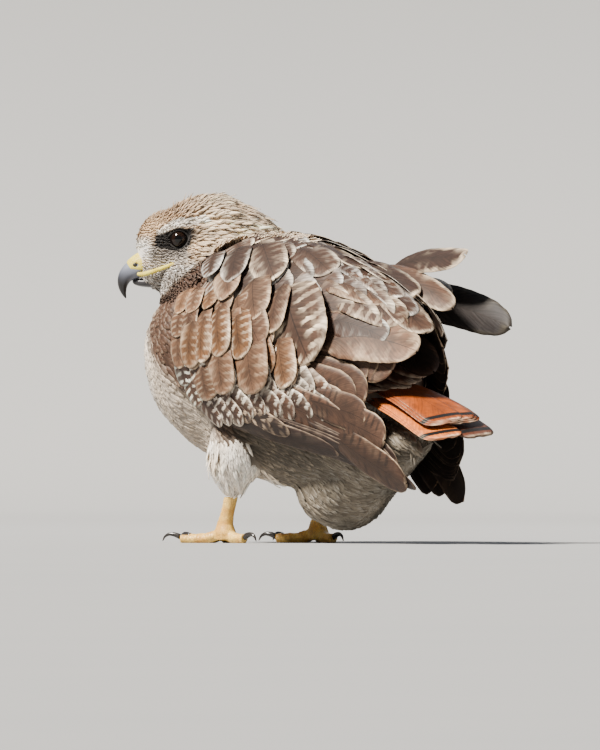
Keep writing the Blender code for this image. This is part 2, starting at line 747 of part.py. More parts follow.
def make_claw(name, side, angle, length, radius, foot):
    """One claw: a tapered hook from the toe's end, its tip just over the floor."""
    x = FOOT_X[0] if side < 0 else FOOT_X[1]
    way = toe_direction(side, angle)
    start = Vector((x, side * FOOT_Y, 0.0)) + way * (length - 1.5)
    size = radius * 0.5
    points = []
    radii = []
    for k in range(5):
        share = k / 4
        rise = CLAW_ROOT_Z + CLAW_ARCH * math.sin(math.pi * share) - CLAW_FALL * share * share
        points.append(start + way * CLAW_REACH * math.sin(1.45 * share) + Vector((0.0, 0.0, rise)))
        radii.append(lerp(size, 0.4, share ** 1.2))
    return cut(tube(name, points, radii, 6), [grown(foot)])


def make_undertail(torso, tail, thighs):
    """The soft vent and undertail feathers, which hang low behind the legs."""
    rings = []
    for x, y, low, high, half in ((44, 4, 27, 48, 16), (58, 6, 13, 60, 27), (78, 8, 7, 70, 31),
                                  (98, 7, 10, 82, 30), (120, 4, 24, 88, 28), (145, 0, 38, 92, 24),
                                  (170, -3, 52, 88, 19), (192, -5, 63, 82, 12)):
        ring = []
        for s in range(14):
            turn = 2.0 * math.pi * s / 14
            ring.append(Vector((x, y + half * math.cos(turn),
                                lerp(low, high, 0.5) + (high - low) / 2.0 * math.sin(turn))))
        rings.append(ring)
    piece = loft("undertail", rings)
    return cut(piece, [grown(torso), grown(tail)] + [grown(thigh) for thigh in thighs])


def finish(parts, collection, materials):
    """Link each part, give it its material, and move the whole bird onto its origin."""
    corners = []
    for piece, material in parts:
        piece.data.materials.clear()
        piece.data.materials.append(materials[material])
        collection.objects.link(piece)
        corners += [vert.co for vert in piece.data.vertices]
    lows = [min(corner[axis] for corner in corners) for axis in range(3)]
    highs = [max(corner[axis] for corner in corners) for axis in range(3)]
    shift = Vector(((lows[0] + highs[0]) / -2.0, (lows[1] + highs[1]) / -2.0, -lows[2]))
    for piece, _ in parts:
        for vert in piece.data.vertices:
            vert.co += shift
        piece.data.shade_smooth()
        piece.data.set_sharp_from_angle(angle=math.radians(40.0))


def main():
    """Build every piece of the bird and put it in one collection."""
    clear_scene()
    chance = random.Random(SEED)
    materials = {name: make_material(name) for name in COLOURS}
    collection = new_collection("red_tailed_hawk")
    torso = make_torso()
    mantle = make_mantle(chance)
    wings = [make_wing("wing_left", -1, chance), make_wing("wing_right", 1, chance)]
    tail = make_tail()
    whole = make_head_and_neck(torso)
    head, neck = part_head(whole)
    cut(head, [make_eye("socket", side, EYE_RADIUS + GAP) for side in (-1, 1)]
        + [gape(side) for side in (-1, 1)])
    join(head, [lid_ring(side) for side in (-1, 1)])
    cut(head, [make_eye("socket", side, EYE_RADIUS + GAP) for side in (-1, 1)])
    eyes = [make_eye("eye_right", -1, EYE_RADIUS), make_eye("eye_left", 1, EYE_RADIUS)]
    upper, lower = make_bill(head)
    thighs = []
    for name, side in (("thigh_left", -1), ("thigh_right", 1)):
        thighs.append(cut(make_thigh(name, side, chance), [grown(torso)]))
    undertail = make_undertail(torso, tail, thighs)
    cut(neck, [grown(mantle)])
    parts = [(torso, "cream"), (mantle, "brown"), (tail, "rufous"), (head, "buff"), (neck, "buff"),
             (upper, "horn"), (lower, "horn"), (undertail, "cream")]
    parts += [(wing, "brown") for wing in wings]
    parts += [(eye, "eye") for eye in eyes]
    parts += [(thigh, "cream") for thigh in thighs]
    for word, side in (("left", -1), ("right", 1)):
        parts.append((make_shank("tarsus_" + word, side), "yellow"))
        foot = make_foot("foot_" + word, side)
        parts.append((foot, "yellow"))
        for k, (angle, length, radius) in enumerate(TOES):
            claw = make_claw(f"claw_{word}_{k + 1}", side, angle, length, radius, foot)
            parts.append((claw, "claw"))
    finish(parts, collection, materials)


main()
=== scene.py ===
# %% [markdown]
# # A red-tailed hawk at rest
# The solids of the bird are already there: they say where every part is and how big it is. This
# lesson dresses them. One smooth skin takes the place of the flesh, thousands of small feathers
# are laid over it along the lie of the plumage, and the long feathers of wings and tail are laid
# one by one in their rows. Then come the eyes, the bill, the scaled feet and the light.

# %% Load the solids
import json
import math
import bpy
import bmesh
import numpy as np
from mathutils import Matrix, Vector
from mathutils.bvhtree import BVHTree

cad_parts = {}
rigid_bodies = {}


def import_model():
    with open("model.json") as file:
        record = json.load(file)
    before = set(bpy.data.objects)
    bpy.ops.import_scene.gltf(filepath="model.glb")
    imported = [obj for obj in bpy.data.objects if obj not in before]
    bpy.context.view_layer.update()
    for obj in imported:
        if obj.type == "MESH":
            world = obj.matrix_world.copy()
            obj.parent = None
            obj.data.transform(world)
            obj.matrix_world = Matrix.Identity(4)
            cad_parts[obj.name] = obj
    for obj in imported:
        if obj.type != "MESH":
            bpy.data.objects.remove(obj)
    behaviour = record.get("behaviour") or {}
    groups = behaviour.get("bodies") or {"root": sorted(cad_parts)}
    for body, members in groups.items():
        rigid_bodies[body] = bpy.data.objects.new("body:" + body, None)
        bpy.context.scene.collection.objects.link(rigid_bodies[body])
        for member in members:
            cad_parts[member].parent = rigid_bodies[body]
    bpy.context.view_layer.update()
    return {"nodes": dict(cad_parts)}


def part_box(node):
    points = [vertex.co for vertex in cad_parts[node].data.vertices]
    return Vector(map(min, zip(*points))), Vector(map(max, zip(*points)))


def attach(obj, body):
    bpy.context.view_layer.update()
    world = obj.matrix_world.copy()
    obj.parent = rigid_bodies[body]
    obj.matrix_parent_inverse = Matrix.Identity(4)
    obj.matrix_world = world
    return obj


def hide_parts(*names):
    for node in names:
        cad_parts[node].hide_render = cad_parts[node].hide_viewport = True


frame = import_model()
print("solids:", len(frame["nodes"]), "nodes")

# %% [markdown]
# ## Millimetres and three frames
# A hawk is easier to describe in millimetres. The body's own frame has the breast at x = -110
# and the floor at z = 0, the bird faces -X and its left side is at -Y. The head is turned to the
# left, so it has a frame of its own, found from its two eyes: forward, to the left, and up.

# %% Frames of the body and the head
MM = 0.001
BREAST_X = -110.0
ORIGIN = Vector((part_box("torso")[0].x / MM - BREAST_X, 0.0, 0.0))
chance = np.random.default_rng(11)


def middle(node):
    """Return the middle of a node's box in the body's millimetres."""
    low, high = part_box(node)
    return (low + high) / 2.0 / MM - ORIGIN


EYE_FORWARD = 6.5
EYES = {1: middle("eye_left"), -1: middle("eye_right")}
HEAD_LEFT = (EYES[1] - EYES[-1]).normalized()
HEAD_FORWARD = Vector((-HEAD_LEFT.y, HEAD_LEFT.x, 0.0)) * -1.0
if HEAD_FORWARD.x > 0.0:
    HEAD_FORWARD.negate()
HEAD_AT = (EYES[1] + EYES[-1]) / 2.0 - HEAD_FORWARD * EYE_FORWARD
HEAD_AT.z = 0.0
UP = Vector((0.0, 0.0, 1.0))
HEAD_CENTRE = -18.0
# The signs of the two sides in the head's frame, where left is positive.
HEAD_SIDES = ((1, "left"), (-1, "right"))


def head_point(forward, side, z):
    """Return a point given along the head, to its left, and by its height."""
    return HEAD_AT + HEAD_FORWARD * forward + HEAD_LEFT * side + UP * z


def in_head(points):
    """Return points of the body's frame as forward, side and height in the head's frame."""
    flat = points - np.array(HEAD_AT)
    return np.stack((flat @ np.array(HEAD_FORWARD), flat @ np.array(HEAD_LEFT), points[:, 2]), 1)


print("eyes at", [round(v, 1) for v in EYES[1]], "and", [round(v, 1) for v in EYES[-1]])

# %% [markdown]
# ## The body as a formula
# The long feathers lie on a simple form: an ellipse at each station from breast to wing tips. A
# place on it is x and an angle from the top of the back, negative on the left side. This keeps
# whole rows of feathers on a smooth curve, which picking points on a mesh would not.

# %% Ellipses along the body
STATION_X = (-110, -104, -92, -60, -30, 0, 40, 80, 120, 160, 200, 230)
HALF_WIDTH = (10, 33, 50, 63, 69, 72, 71, 66, 57, 47, 38, 32)
TOP_Z = (140, 164, 187, 204, 213, 217, 213, 203, 188, 169, 141, 117)
WIDEST_Z = (127, 130, 136, 140, 139, 137, 130, 119, 106, 91, 72, 56)
UNDER_Z = (114, 94, 76, 60, 50, 43, 36, 38, 44, 34, 26, 20)


def form(x):
    """Return the body's half width, widest level, top and under level at x."""
    return [np.interp(x, STATION_X, row) for row in (HALF_WIDTH, WIDEST_Z, TOP_Z, UNDER_Z)]


def body_points(x, angle, height):
    """Return points and outward normals of the body's form at x, an angle and a height."""
    x, angle, height = np.broadcast_arrays(np.asarray(x, float), angle, height)
    turn = np.radians(angle)
    width, level, top, under = form(x)
    reach = np.where(np.cos(turn) > 0, top - level, level - under)
    out = np.stack((np.zeros_like(turn), np.sin(turn) * reach, np.cos(turn) * width), -1)
    out /= np.linalg.norm(out, axis=-1, keepdims=True)
    place = np.stack((x, width * np.sin(turn), level + reach * np.cos(turn)), -1)
    return place + out * height[..., None], out


def around_body(points):
    """Return the angle from the top of the back for points near the body."""
    width, level, top, under = form(points[:, 0])
    rise = points[:, 2] - level
    reach = np.where(rise > 0, top - level, level - under)
    return np.degrees(np.arctan2(points[:, 1] / width, rise / np.maximum(reach, 1.0)))


# %% [markdown]
# ## Helpers for meshes
# Every piece is made in a bmesh in millimetres and turned into an object in metres, so that its
# object stays at the origin, unturned. A loft starts from a circle that is extruded ring by ring.
# Colours are stored at the vertices, where the materials read them.

# %% Mesh helpers


def from_bmesh(name, builder, scale=MM):
    """Make an object from a bmesh given in the body's millimetres."""
    if scale == MM:
        bmesh.ops.translate(builder, vec=ORIGIN, verts=builder.verts)
        bmesh.ops.scale(builder, vec=(MM, MM, MM), verts=builder.verts)
    mesh = bpy.data.meshes.new(name)
    builder.to_mesh(mesh)
    builder.free()
    piece = bpy.data.objects.new(name, mesh)
    bpy.context.scene.collection.objects.link(piece)
    return piece


def smooth(piece, levels=0):
    """Shade a piece smooth, with a subdivision if levels are given."""
    piece.data.shade_smooth()
    if levels:
        step = piece.modifiers.new("round", "SUBSURF")
        step.levels = levels
        step.render_levels = levels
    return piece


def loft(builder, rings, joined=False):
    """Extrude a circle through rings of points; close both ends, or join the last to the first."""
    count = len(rings[0])
    made = bmesh.ops.create_circle(builder, segments=count, radius=1.0, cap_ends=False)
    loop = sorted(made["verts"], key=lambda v: math.atan2(v.co.y, v.co.x))
    first = list(loop)
    for number, ring in enumerate(rings):
        if number:
            edges = [e for e in {e for v in loop for e in v.link_edges}
                     if e.verts[0] in loop and e.verts[1] in loop]
            grown = bmesh.ops.extrude_edge_only(builder, edges=edges)["geom"]
            fresh = [g for g in grown if isinstance(g, bmesh.types.BMVert)]
            order = {loop.index(edge.other_vert(vert)): vert for vert in fresh
                     for edge in vert.link_edges if edge.other_vert(vert) in loop}
            loop = [order[k] for k in range(count)]
        for vert, place in zip(loop, ring):
            vert.co = place
    if joined:
        edges = [builder.edges.get((ring[k - 1], ring[k])) for ring in (first, loop) for k in range(count)]
        bmesh.ops.bridge_loops(builder, edges=edges)
    else:
        for end in (first, loop):
            bmesh.ops.contextual_create(builder, geom=end)
    bmesh.ops.recalc_face_normals(builder, faces=builder.faces)


def lofted(name, rings, joined=False):
    """Return a closed piece through rings of points."""
    builder = bmesh.new()
    loft(builder, rings, joined)
    return from_bmesh(name, builder)


def evaluated(piece):
    """Replace a piece's mesh by the result of its modifiers."""
    bpy.context.view_layer.update()
    graph = bpy.context.evaluated_depsgraph_get()
    mesh = bpy.data.meshes.new_from_object(piece.evaluated_get(graph))
    piece.modifiers.clear()
    piece.data = mesh
    return piece


def numbers(rows, field, wide, kind=np.float32):
    """Return a field of a mesh's vertices, faces or corners, with so many numbers in a row."""
    flat = np.empty(len(rows) * wide, kind)
    rows.foreach_get(field, flat)
    return flat.reshape(-1, wide) if wide > 1 else flat


def in_millimetres(places):
    """Return places in the body's millimetres, from the scene's metres."""
    return places.astype(float) / MM - np.array(ORIGIN)


def points_of(piece):
    """Return a piece's vertices in the body's millimetres."""
    return in_millimetres(numbers(piece.data.vertices, "co", 3))


def set_points(piece, points):
    """Write a piece's vertices, given in the body's millimetres."""
    flat = ((points + np.array(ORIGIN)) * MM).astype(np.float32).ravel()
    piece.data.vertices.foreach_set("co", flat)
    piece.data.update()


def with_alpha(colours):
    """Return rows of colour with a fourth number, 1."""
    return np.pad(colours, ((0, 0), (0, 1)), constant_values=1.0)


def paint(piece, name, colours):
    """Store a colour of four numbers at each vertex, for the material to read."""
    layer = piece.data.attributes.new(name, "FLOAT_COLOR", "POINT")
    layer.data.foreach_set("color", np.ascontiguousarray(colours, np.float32).ravel())


# %% [markdown]
# ## The colours of the plumage
# The colours are chosen as a painter mixes them. Each region of the bird has its own
# mixture, worked out from the place on the body, and skin and feathers ask the same function, so
# that a gap between feathers never shows a strange colour.

# %% Palette


def srgb(red, green, blue):
    """Return a colour as the shader wants it, from values between 0 and 255."""
    values = np.array((red, green, blue)) / 255.0
    return np.where(values <= 0.04045, values / 12.92, ((values + 0.055) / 1.055) ** 2.4)


# The grey olive is pale plumage darkened as painted shade, for the parts that lie in shade.
COLOUR = {
    "brown": srgb(82, 58, 44), "dark": srgb(34, 24, 19), "tan": srgb(134, 100, 75),
    "cream": srgb(244, 222, 192), "buff": srgb(206, 172, 134), "white": srgb(255, 251, 244),
    "grey": srgb(182, 170, 158), "rufous": srgb(118, 50, 4), "orange": srgb(212, 104, 8),
    "black": srgb(13, 11, 10), "slate": srgb(44, 41, 41), "shaded_cream": srgb(78, 73, 62),
    "gold": srgb(172, 116, 62), "umber": srgb(50, 34, 27)}


def ease(value, start, end):
    """Return 0 before start, 1 after end, and an even curve between."""
    share = np.clip((value - start) / (end - start), 0.0, 1.0)
    return share * share * (3.0 - 2.0 * share)


def blend(first, second, share):
    """Mix rows of colour; the share has one number for each row."""
    share = np.asarray(share)[..., None]
    return first * (1.0 - share) + second * share


def ripple(points, size, seed=0.0):
    """Return a soft irregular pattern between 0 and 1, about size across."""
    x, y, z = (points / size + seed).T
    waves = np.sin(x * 1.7 + np.sin(y * 1.3 + 2.0 * np.sin(z * 0.7)))
    waves += np.sin(z * 2.1 + x * 0.6 + seed)
    waves += np.sin(y * 1.9 - z * 0.8 + np.sin(x * 1.1))
    return waves / 6.0 + 0.5


def layered(colour, *layers):
    """Lay palette colours over a colour one after another, each with its own share."""
    for name, share in layers:
        colour = blend(colour, COLOUR[name], share)
    return colour


def patchy(first, second, share):
    """Return rows of a palette colour with another laid over it in patches."""
    return layered(np.tile(COLOUR[first], (len(share), 1)), (second, share))


COLOUR["brow"] = blend(COLOUR["cream"], COLOUR["white"], 0.6)

# %% Colours of the head
CHEEK_SLOPE = 1.08
CHEEK_Z = 193.8
NAPE_EDGE = (197.3, 0.555, 27.0)


def band(along, across, points, width, soft):
    """Return 1 on a broken line through points and 0 beyond its width."""
    places = [p[0] for p in points]
    line = np.interp(along, places, [p[1] for p in points])
    wide = np.interp(along, places, width)
    inside = 1.0 - ease(np.abs(across - line), wide, wide + soft)
    before, after = ease(along, places[0] - soft, places[0]), ease(along, places[-1], places[-1] + soft)
    return inside * (before * (1.0 - after))


def head_colour(points):
    """Return the head's colour: crown, brow, dark lore, pale face and throat, buff nape."""
    forward, side, z = in_head(points).T
    wide = np.abs(side)
    low = ease(-z, -204, -196)
    cheek = ease(forward - CHEEK_SLOPE * (CHEEK_Z - z), -3.0, 3.5)
    line = NAPE_EDGE[0] + NAPE_EDGE[1] * np.clip(0.8 - forward, 0.0, NAPE_EDGE[2])
    behind = ease(line - z, -3.0, 2.0) * (1.0 - cheek)
    under_eye = band(forward, z, ((2, 207), (12, 207), (27, 203)), (5, 7, 7), 3.0)
    brow = band(forward, z, ((-11, 231), (-2, 230.5), (12, 227.5), (22, 221)), (1.4, 2.3, 2.4, 1.4), 1.8)
    smoke = band(forward, z, ((2, 212), (14, 211), (25, 211)), (4.0, 6.0, 4.0), 4.0) * ease(wide, 8, 12)
    lore = band(forward, z, ((-1.5, 218.6), (8, 217.2), (16, 216), (24, 215.8)), (5.4, 7.6, 5.4, 3.4), 1.6)
    spot = band(forward, z, ((-6.5, 221), (-1.5, 220)), (3.2, 3.6), 1.2)
    fore = ease(forward, 24, 31) * ease(z, 199, 205)
    return layered(
        np.tile(COLOUR["buff"], (len(points), 1)),
        ("tan", 0.6 * ease(z, 224, 238) * ripple(points, 5.0)),
        ("cream", ease(-forward, -10, 25) * 0.75),
        ("grey", low * cheek),
        ("white", 0.7 * low * cheek * ease(ripple(points, 1.6, 4.0), 0.35, 0.65)),
        ("dark", 0.5 * low * cheek * ease(ripple(points, 1.3, 9.0), 0.55, 0.8)),
        ("brown", behind),
        ("umber", 0.6 * behind * ripple(points, 4.0, 2.0)),
        ("grey", under_eye * ease(wide, 8, 13)),
        ("brow", brow * ease(wide, 8, 13)),
        ("slate", 0.55 * smoke),
        ("black", lore * ease(wide, 7, 11)),
        ("slate", 0.8 * spot * ease(wide, 12, 16)),
        ("white", 0.85 * fore * (1.0 - ease(z, 214, 222))))


# %% Colours of the body


def body_colour(points):
    """Return the colour of breast, belly, flanks, neck and the parts under wings and tail."""
    x, y, z = points.T
    side = ease(np.abs(y), 26, 44)
    flank = z - (145.0 - 0.78 * (x + 85.0))
    return layered(
        np.tile(COLOUR["grey"], (len(points), 1)),
        ("cream", 0.4 * ripple(points, 11.0)),
        ("white", 0.4 * ease(-x, 70, 105)),
        ("brown", ease(flank, -8, 12) * side),
        ("brown", 0.75 * ease(z, 176, 192)),
        # The underside behind the breast is darkened to grey olive, as painted shade under the body and wing.
        ("shaded_cream", 0.85 * ease(x, -10, 40) * ease(-z, -110, -80)))


def coat_colour(points):
    """Return the plumage's colour anywhere on the bird."""
    forward, side, z = in_head(points).T
    reach = np.hypot(forward - HEAD_CENTRE, side)
    share = ease(z, 180, 196) * (1.0 - ease(reach, 46, 62))
    chin = ease(forward, 4, 16) * ease(z, 170, 178)
    return blend(body_colour(points), head_colour(points), np.maximum(share, chin))


print("palette of", len(COLOUR), "colours")

# %% [markdown]
# ## One skin
# Copies of the solid torso, neck, head and undertail are melted into one surface by a voxel
# remesh, with lofted thighs and a thin core for each wing, the back and the tail's root.
# Smoothing takes the facets away, and the surface is drawn in by the depth of the coat that will
# cover it.

# %% Cores under the long feathers


def core_patch(name, x_range, angles, high, low):
    """Return a closed slab that lies on the body's form, to carry feathers."""
    builder = bmesh.new()
    bmesh.ops.create_grid(builder, x_segments=14, y_segments=10, size=1.0)
    bmesh.ops.solidify(builder, geom=builder.faces[:], thickness=1.0)
    for vert in builder.verts:
        x = np.interp(vert.co.x, (-1, 1), x_range)
        angle = np.interp(vert.co.y, (-1, 1), angles)
        vert.co = body_points(x, angle, high if abs(vert.co.z) < 0.5 else low)[0]
    bmesh.ops.recalc_face_normals(builder, faces=builder.faces)
    return from_bmesh(name, builder)


TAIL_X = (128.4, 160.0, 200.0, 236.0, 256.0)
TAIL_Z = (121.0, 114.5, 103.5, 89.0, 81.0)
TAIL_ROLL = (0.32, 0.26, 0.15, 0.06, 0.02)
TAIL_Y = -6.0


def tail_level(x, y):
    """Return the height of the tail's top surface, which rolls down to the left at its root."""
    return np.interp(x, TAIL_X, TAIL_Z) + np.interp(x, TAIL_X, TAIL_ROLL) * (np.asarray(y) - TAIL_Y)


def level_ring(x, y, z, long, wide, sides=20):
    """Return a level ellipse of points."""
    turns = np.linspace(0.0, 2.0 * math.pi, sides, endpoint=False)
    return [Vector((x + long * math.cos(t), y + wide * math.sin(t), z)) for t in turns]


TAIL_RINGS = ((112, 22, 12), (146, 24, 10), (166, 19, 5), (182, 12, 2))


def tail_core():
    """Return the tapering root of the tail."""
    rings = []
    for x, half, thick in TAIL_RINGS:
        turns = np.linspace(0.0, 2.0 * math.pi, 20, endpoint=False)
        ys = TAIL_Y + half * np.cos(turns)
        zs = tail_level(x, ys) - 9.0 + thick * np.sin(turns)
        rings.append([Vector((x, y, z)) for y, z in zip(ys, zs)])
    return lofted("tail_core", rings)


THIGH_RINGS = ((104, 16, 25, 15), (84, 14, 28, 17), (66, 11, 28, 19.5), (54, 9, 25, 18.5),
               (46, 7, 19, 15.5), (39, 6, 12, 10.5), (33, 5, 7, 6.6))
FOOT_Y = 38.0
# The signs of the two sides in the body's frame, where left is negative.
BODY_SIDES = ((-1, "left"), (1, "right"))


def thigh_core(side):
    """Return the thigh's flesh as a loft through level rings: height, x, and two half widths."""
    return lofted("thigh_core", [level_ring(x, side * FOOT_Y, z, long, wide)
                                 for z, x, long, wide in THIGH_RINGS])


# %% Melt the solids into one skin
SMOOTH_SOLIDS = ("torso", "neck", "head", "undertail")
CORED_SOLIDS = ("mantle", "wing_left", "wing_right", "tail", "thigh_left", "thigh_right")
SKIN_VOXEL = 0.0019
SKIN_SMOOTHING = 6
COAT_DEPTH = 2.4


def copy_of(node):
    """Return a merged copy of a solid, linked to the scene."""
    builder = bmesh.new()
    builder.from_mesh(frame["nodes"][node].data)
    bmesh.ops.remove_doubles(builder, verts=builder.verts, dist=1e-6)
    bmesh.ops.recalc_face_normals(builder, faces=builder.faces)
    return from_bmesh(node + "_copy", builder, scale=1.0)


def largest_island(builder):
    """Delete every face that isn't on the largest connected surface."""
    left = set(builder.faces)
    islands = []
    while left:
        queue = [left.pop()]
        island = []
        while queue:
            face = queue.pop()
            island.append(face)
            for edge in face.edges:
                for other in edge.link_faces:
                    if other in left:
                        left.remove(other)
                        queue.append(other)
        islands.append(island)
    islands.sort(key=len)
    scraps = [face for island in islands[:-1] for face in island]
    bmesh.ops.delete(builder, geom=scraps, context="FACES")


def melted(parts, name, voxel, smoothing):
    """Join parts by a voxel remesh; return the piece and its smoothed mesh as a bmesh."""
    whole = bmesh.new()
    for part in parts:
        whole.from_mesh(part.data)
        bpy.data.objects.remove(part)
    piece = from_bmesh(name, whole, scale=1.0)
    step = piece.modifiers.new("melt", "REMESH")
    step.mode = "VOXEL"
    step.voxel_size = voxel
    evaluated(piece)
    builder = bmesh.new()
    builder.from_mesh(piece.data)
    largest_island(builder)
    for _ in range(smoothing):
        bmesh.ops.smooth_vert(builder, verts=builder.verts, factor=0.5,
                              use_axis_x=True, use_axis_y=True, use_axis_z=True)
    return piece, builder


def make_skin():
    """Melt the copies and the cores, and draw the surface in by the depth of the coat."""
    parts = [copy_of(node) for node in SMOOTH_SOLIDS] + [thigh_core(side) for side in (-1, 1)]
    parts += [core_patch("core", (-34, 118), (side * 44, side * 112), -4.0, -12.0) for side in (-1, 1)]
    parts += [core_patch("core", (-20, 116), (-48, 48), -1.0, -12.0), tail_core()]
    skin, builder = melted(parts, "skin", SKIN_VOXEL, SKIN_SMOOTHING)
    builder.normal_update()
    places = np.array([vert.co for vert in builder.verts]) / MM - np.array(ORIGIN)
    forward, side, z = in_head(places).T
    near_head = ease(z, 176, 192) * (1.0 - ease(np.hypot(forward - HEAD_CENTRE, side), 46, 62))
    fuller = 5.6 * ease(forward, 8, 26) * ease(z, 200, 214)
    fuller += 2.6 * ease(forward, -40, -24) * (1.0 - ease(forward, 4, 18)) * ease(z, 224, 240)
    flatter = 4.0 * ease(-forward, 24, 46) * ease(z, 222, 238)
    depth = COAT_DEPTH + near_head * (flatter - fuller - 2.0)
    for vert, inset in zip(builder.verts, depth):
        vert.co -= vert.normal * inset * MM
    builder.to_mesh(skin.data)
    builder.free()
    return smooth(skin)


skin = make_skin()
print("skin:", len(skin.data.polygons), "faces")
paint(skin, "tint", with_alpha(coat_colour(points_of(skin))))

# %% [markdown]
# ## How a feather is made
# One feather is a flat grid with a thickness. An array copies it as often as it is needed, and
# each copy is then bent along its own path, narrowed to its outline, and arched across. This is
# one mesh for a whole tract of plumage, and every vane stays a closed thin solid. The grid
# carries a UV map named vane: across it from edge to edge, and along it from root to tip. The
# feathers of the face are slim three-sided locks, made and bent in the same way.

# %% Feather templates
DENSER_TIP = 1.35


def as_template(builder, name):
    """Give a template its vane map, across and along, and return it as a mesh."""
    bmesh.ops.recalc_face_normals(builder, faces=builder.faces)
    layer = builder.loops.layers.uv.new("vane")
    for face in builder.faces:
        for loop in face.loops:
            loop[layer].uv = (loop.vert.co.x / 2.0 + 0.5, loop.vert.co.y)
    mesh = bpy.data.meshes.new(name)
    builder.to_mesh(mesh)
    builder.free()
    return mesh


def vane_template(columns, rows):
    """Return a thin slab: x across from -1 to 1, y along from 0 to 1, z 0 above and -1 below."""
    builder = bmesh.new()
    bmesh.ops.create_grid(builder, x_segments=columns, y_segments=rows, size=1.0)
    bmesh.ops.solidify(builder, geom=builder.faces[:], thickness=1.0)
    for vert in builder.verts:
        along = 1.0 - (1.0 - (vert.co.y + 1.0) / 2.0) ** DENSER_TIP
        vert.co = Vector((vert.co.x, along, -abs(round(vert.co.z))))
    return as_template(builder, "vane")


def tuft_template(rings):
    """Return a slim three-sided lock with a keel on top, for the small feathers of the face."""
    builder = bmesh.new()
    bmesh.ops.create_cone(builder, cap_ends=True, segments=3, radius1=1.0, radius2=1.0, depth=1.0)
    for k in range(1, rings):
        bmesh.ops.bisect_plane(builder, geom=builder.verts[:] + builder.edges[:] + builder.faces[:],
                               plane_co=(0, 0, k / rings - 0.5), plane_no=(0, 0, 1))
    turns = sorted({round(math.atan2(v.co.y, v.co.x), 3) for v in builder.verts})
    corner = dict(zip(turns, ((-1.0, -1.0), (0.0, 0.0), (1.0, -1.0))))
    for vert in builder.verts:
        across, level = corner[round(math.atan2(vert.co.y, vert.co.x), 3)]
        vert.co = Vector((across, vert.co.z + 0.5, level))
    return as_template(builder, "tuft")


LARGE_VANE = vane_template(10, 30)
MIDDLE_VANE = vane_template(8, 18)
SMALL_VANE = vane_template(2, 5)
WISP_VANE = vane_template(2, 9)
FACE_TUFT = tuft_template(4)
print("templates:", [len(mesh.polygons) for mesh in (LARGE_VANE, MIDDLE_VANE, SMALL_VANE, FACE_TUFT)])

# %% Outlines of feathers: width at each share of the length
OUTLINE = {
    "round": ((0, .08, .25, .5, .72, .85, .93, .975, 1), (.22, .45, .74, .96, 1, .92, .72, .46, .06)),
    "broad": ((0, .08, .2, .4, .65, .82, .92, .97, 1), (.3, .6, .86, 1, 1, .9, .7, .44, .06)),
    "blade": ((0, .06, .2, .5, .78, .9, .96, .985, 1), (.2, .42, .7, .95, 1, .86, .6, .38, .05)),
    "square": ((0, .06, .3, .8, .92, .965, .99, 1), (.3, .46, .74, 1, 1, .93, .7, .25)),
    "lance": ((0, .1, .3, .5, .7, .85, .95, 1), (.35, .75, 1, .92, .7, .44, .2, .02)),
    "shaggy": ((0, .1, .35, .6, .8, .92, 1), (.4, .8, 1, .9, .66, .36, .05))}

# %% Bend the copies of a template into feathers
KNOTS = (0.0, 1.0 / 3.0, 2.0 / 3.0, 1.0)
RIDGE_HALF = 0.12


def path_weights(along):
    """Return weights of four points evenly spaced on a path, for places and for directions."""
    step = 1e-3

    def weights(at):
        columns = []
        for own in KNOTS:
            value = np.ones_like(at)
            for other in KNOTS:
                if other != own:
                    value = value * (at - other) / (own - other)
            columns.append(value)
        return np.stack(columns, 1)
    return weights(along), (weights(along + step) - weights(along - step)) / (2.0 * step)


def unit(vectors):
    """Return vectors scaled to a length of one."""
    return vectors / np.maximum(np.linalg.norm(vectors, axis=-1, keepdims=True), 1e-9)


def lay(name, template, coat, outline, thickness=0.35, ridge=0.0, keel=0.0, ragged=0.0):
    """Return one piece with a feather for each entry of a coat, bent along its path."""
    count = len(coat["path"])
    piece = bpy.data.objects.new(name, template.copy())
    bpy.context.scene.collection.objects.link(piece)
    row = piece.modifiers.new("copies", "ARRAY")
    row.count = count
    row.use_relative_offset = False
    evaluated(piece)
    piece.data.name = name
    across, along, level = numbers(template.vertices, "co", 3).astype(float).T
    path, normal = (np.array(coat[key], float) for key in ("path", "normal"))
    places, ways = path_weights(along)
    spot = np.einsum("vk,nkc->nvc", places, path)
    way = unit(np.einsum("vk,nkc->nvc", ways, path))
    out = np.einsum("vk,nkc->nvc", places, normal)
    out = unit(out - way * (out * way).sum(-1, keepdims=True))
    aside = np.cross(way, out)
    wide = np.interp(along, *OUTLINE[outline])
    width = np.array(coat["width"], float)[:, None] / 2.0
    lean, skew, camber = (np.array(coat.get(key, np.zeros(count)), float)[:, None]
                          for key in ("lean", "skew", "camber"))
    half = width * wide * (1.0 + skew * across)
    if ragged:
        number = np.arange(count)[:, None]
        waves = np.sin(along * 41.0 + number * 1.7) * np.sin(along * 17.0 + across * 3.0 + number)
        half = half * (1.0 + ragged * waves * np.abs(across))
    if keel:
        rise = keel * width * wide * (level + 1.0)
    else:
        rise = -camber * width * across ** 2 + lean * across * wide
        rise = rise + ridge * (np.abs(across) < RIDGE_HALF) * (1.0 - along)
        rise = rise + level * thickness * (0.35 + 0.65 * (1.0 - along))
    set_points(piece, (spot + aside * (half * across)[..., None] + out * rise[..., None]).reshape(-1, 3))
    for layer in ("tint", "rim", "marks"):
        paint(piece, layer, np.repeat(np.array(coat[layer], float), len(template.vertices), 0))
    # The lower face of each feather is marked, for the painted shade that the materials lay on it.
    below = piece.data.attributes.new("below", "FLOAT", "POINT")
    below.data.foreach_set("value", np.tile(level < -0.5, count).astype(np.float32))
    return smooth(piece)


# %% [markdown]
# ## A map for every feather
# Outside Blender, the colours are stored in a picture. So each piece of plumage gets a second
# map, OFBake. The small tufts are patches at the place of their roots on an unrolled skin. The
# long feathers have bars and edges that need room, so each has a cell of its own in a grid,
# half of it for its upper face and half for its lower one.

# %% Maps for baking
PATCH = 0.003


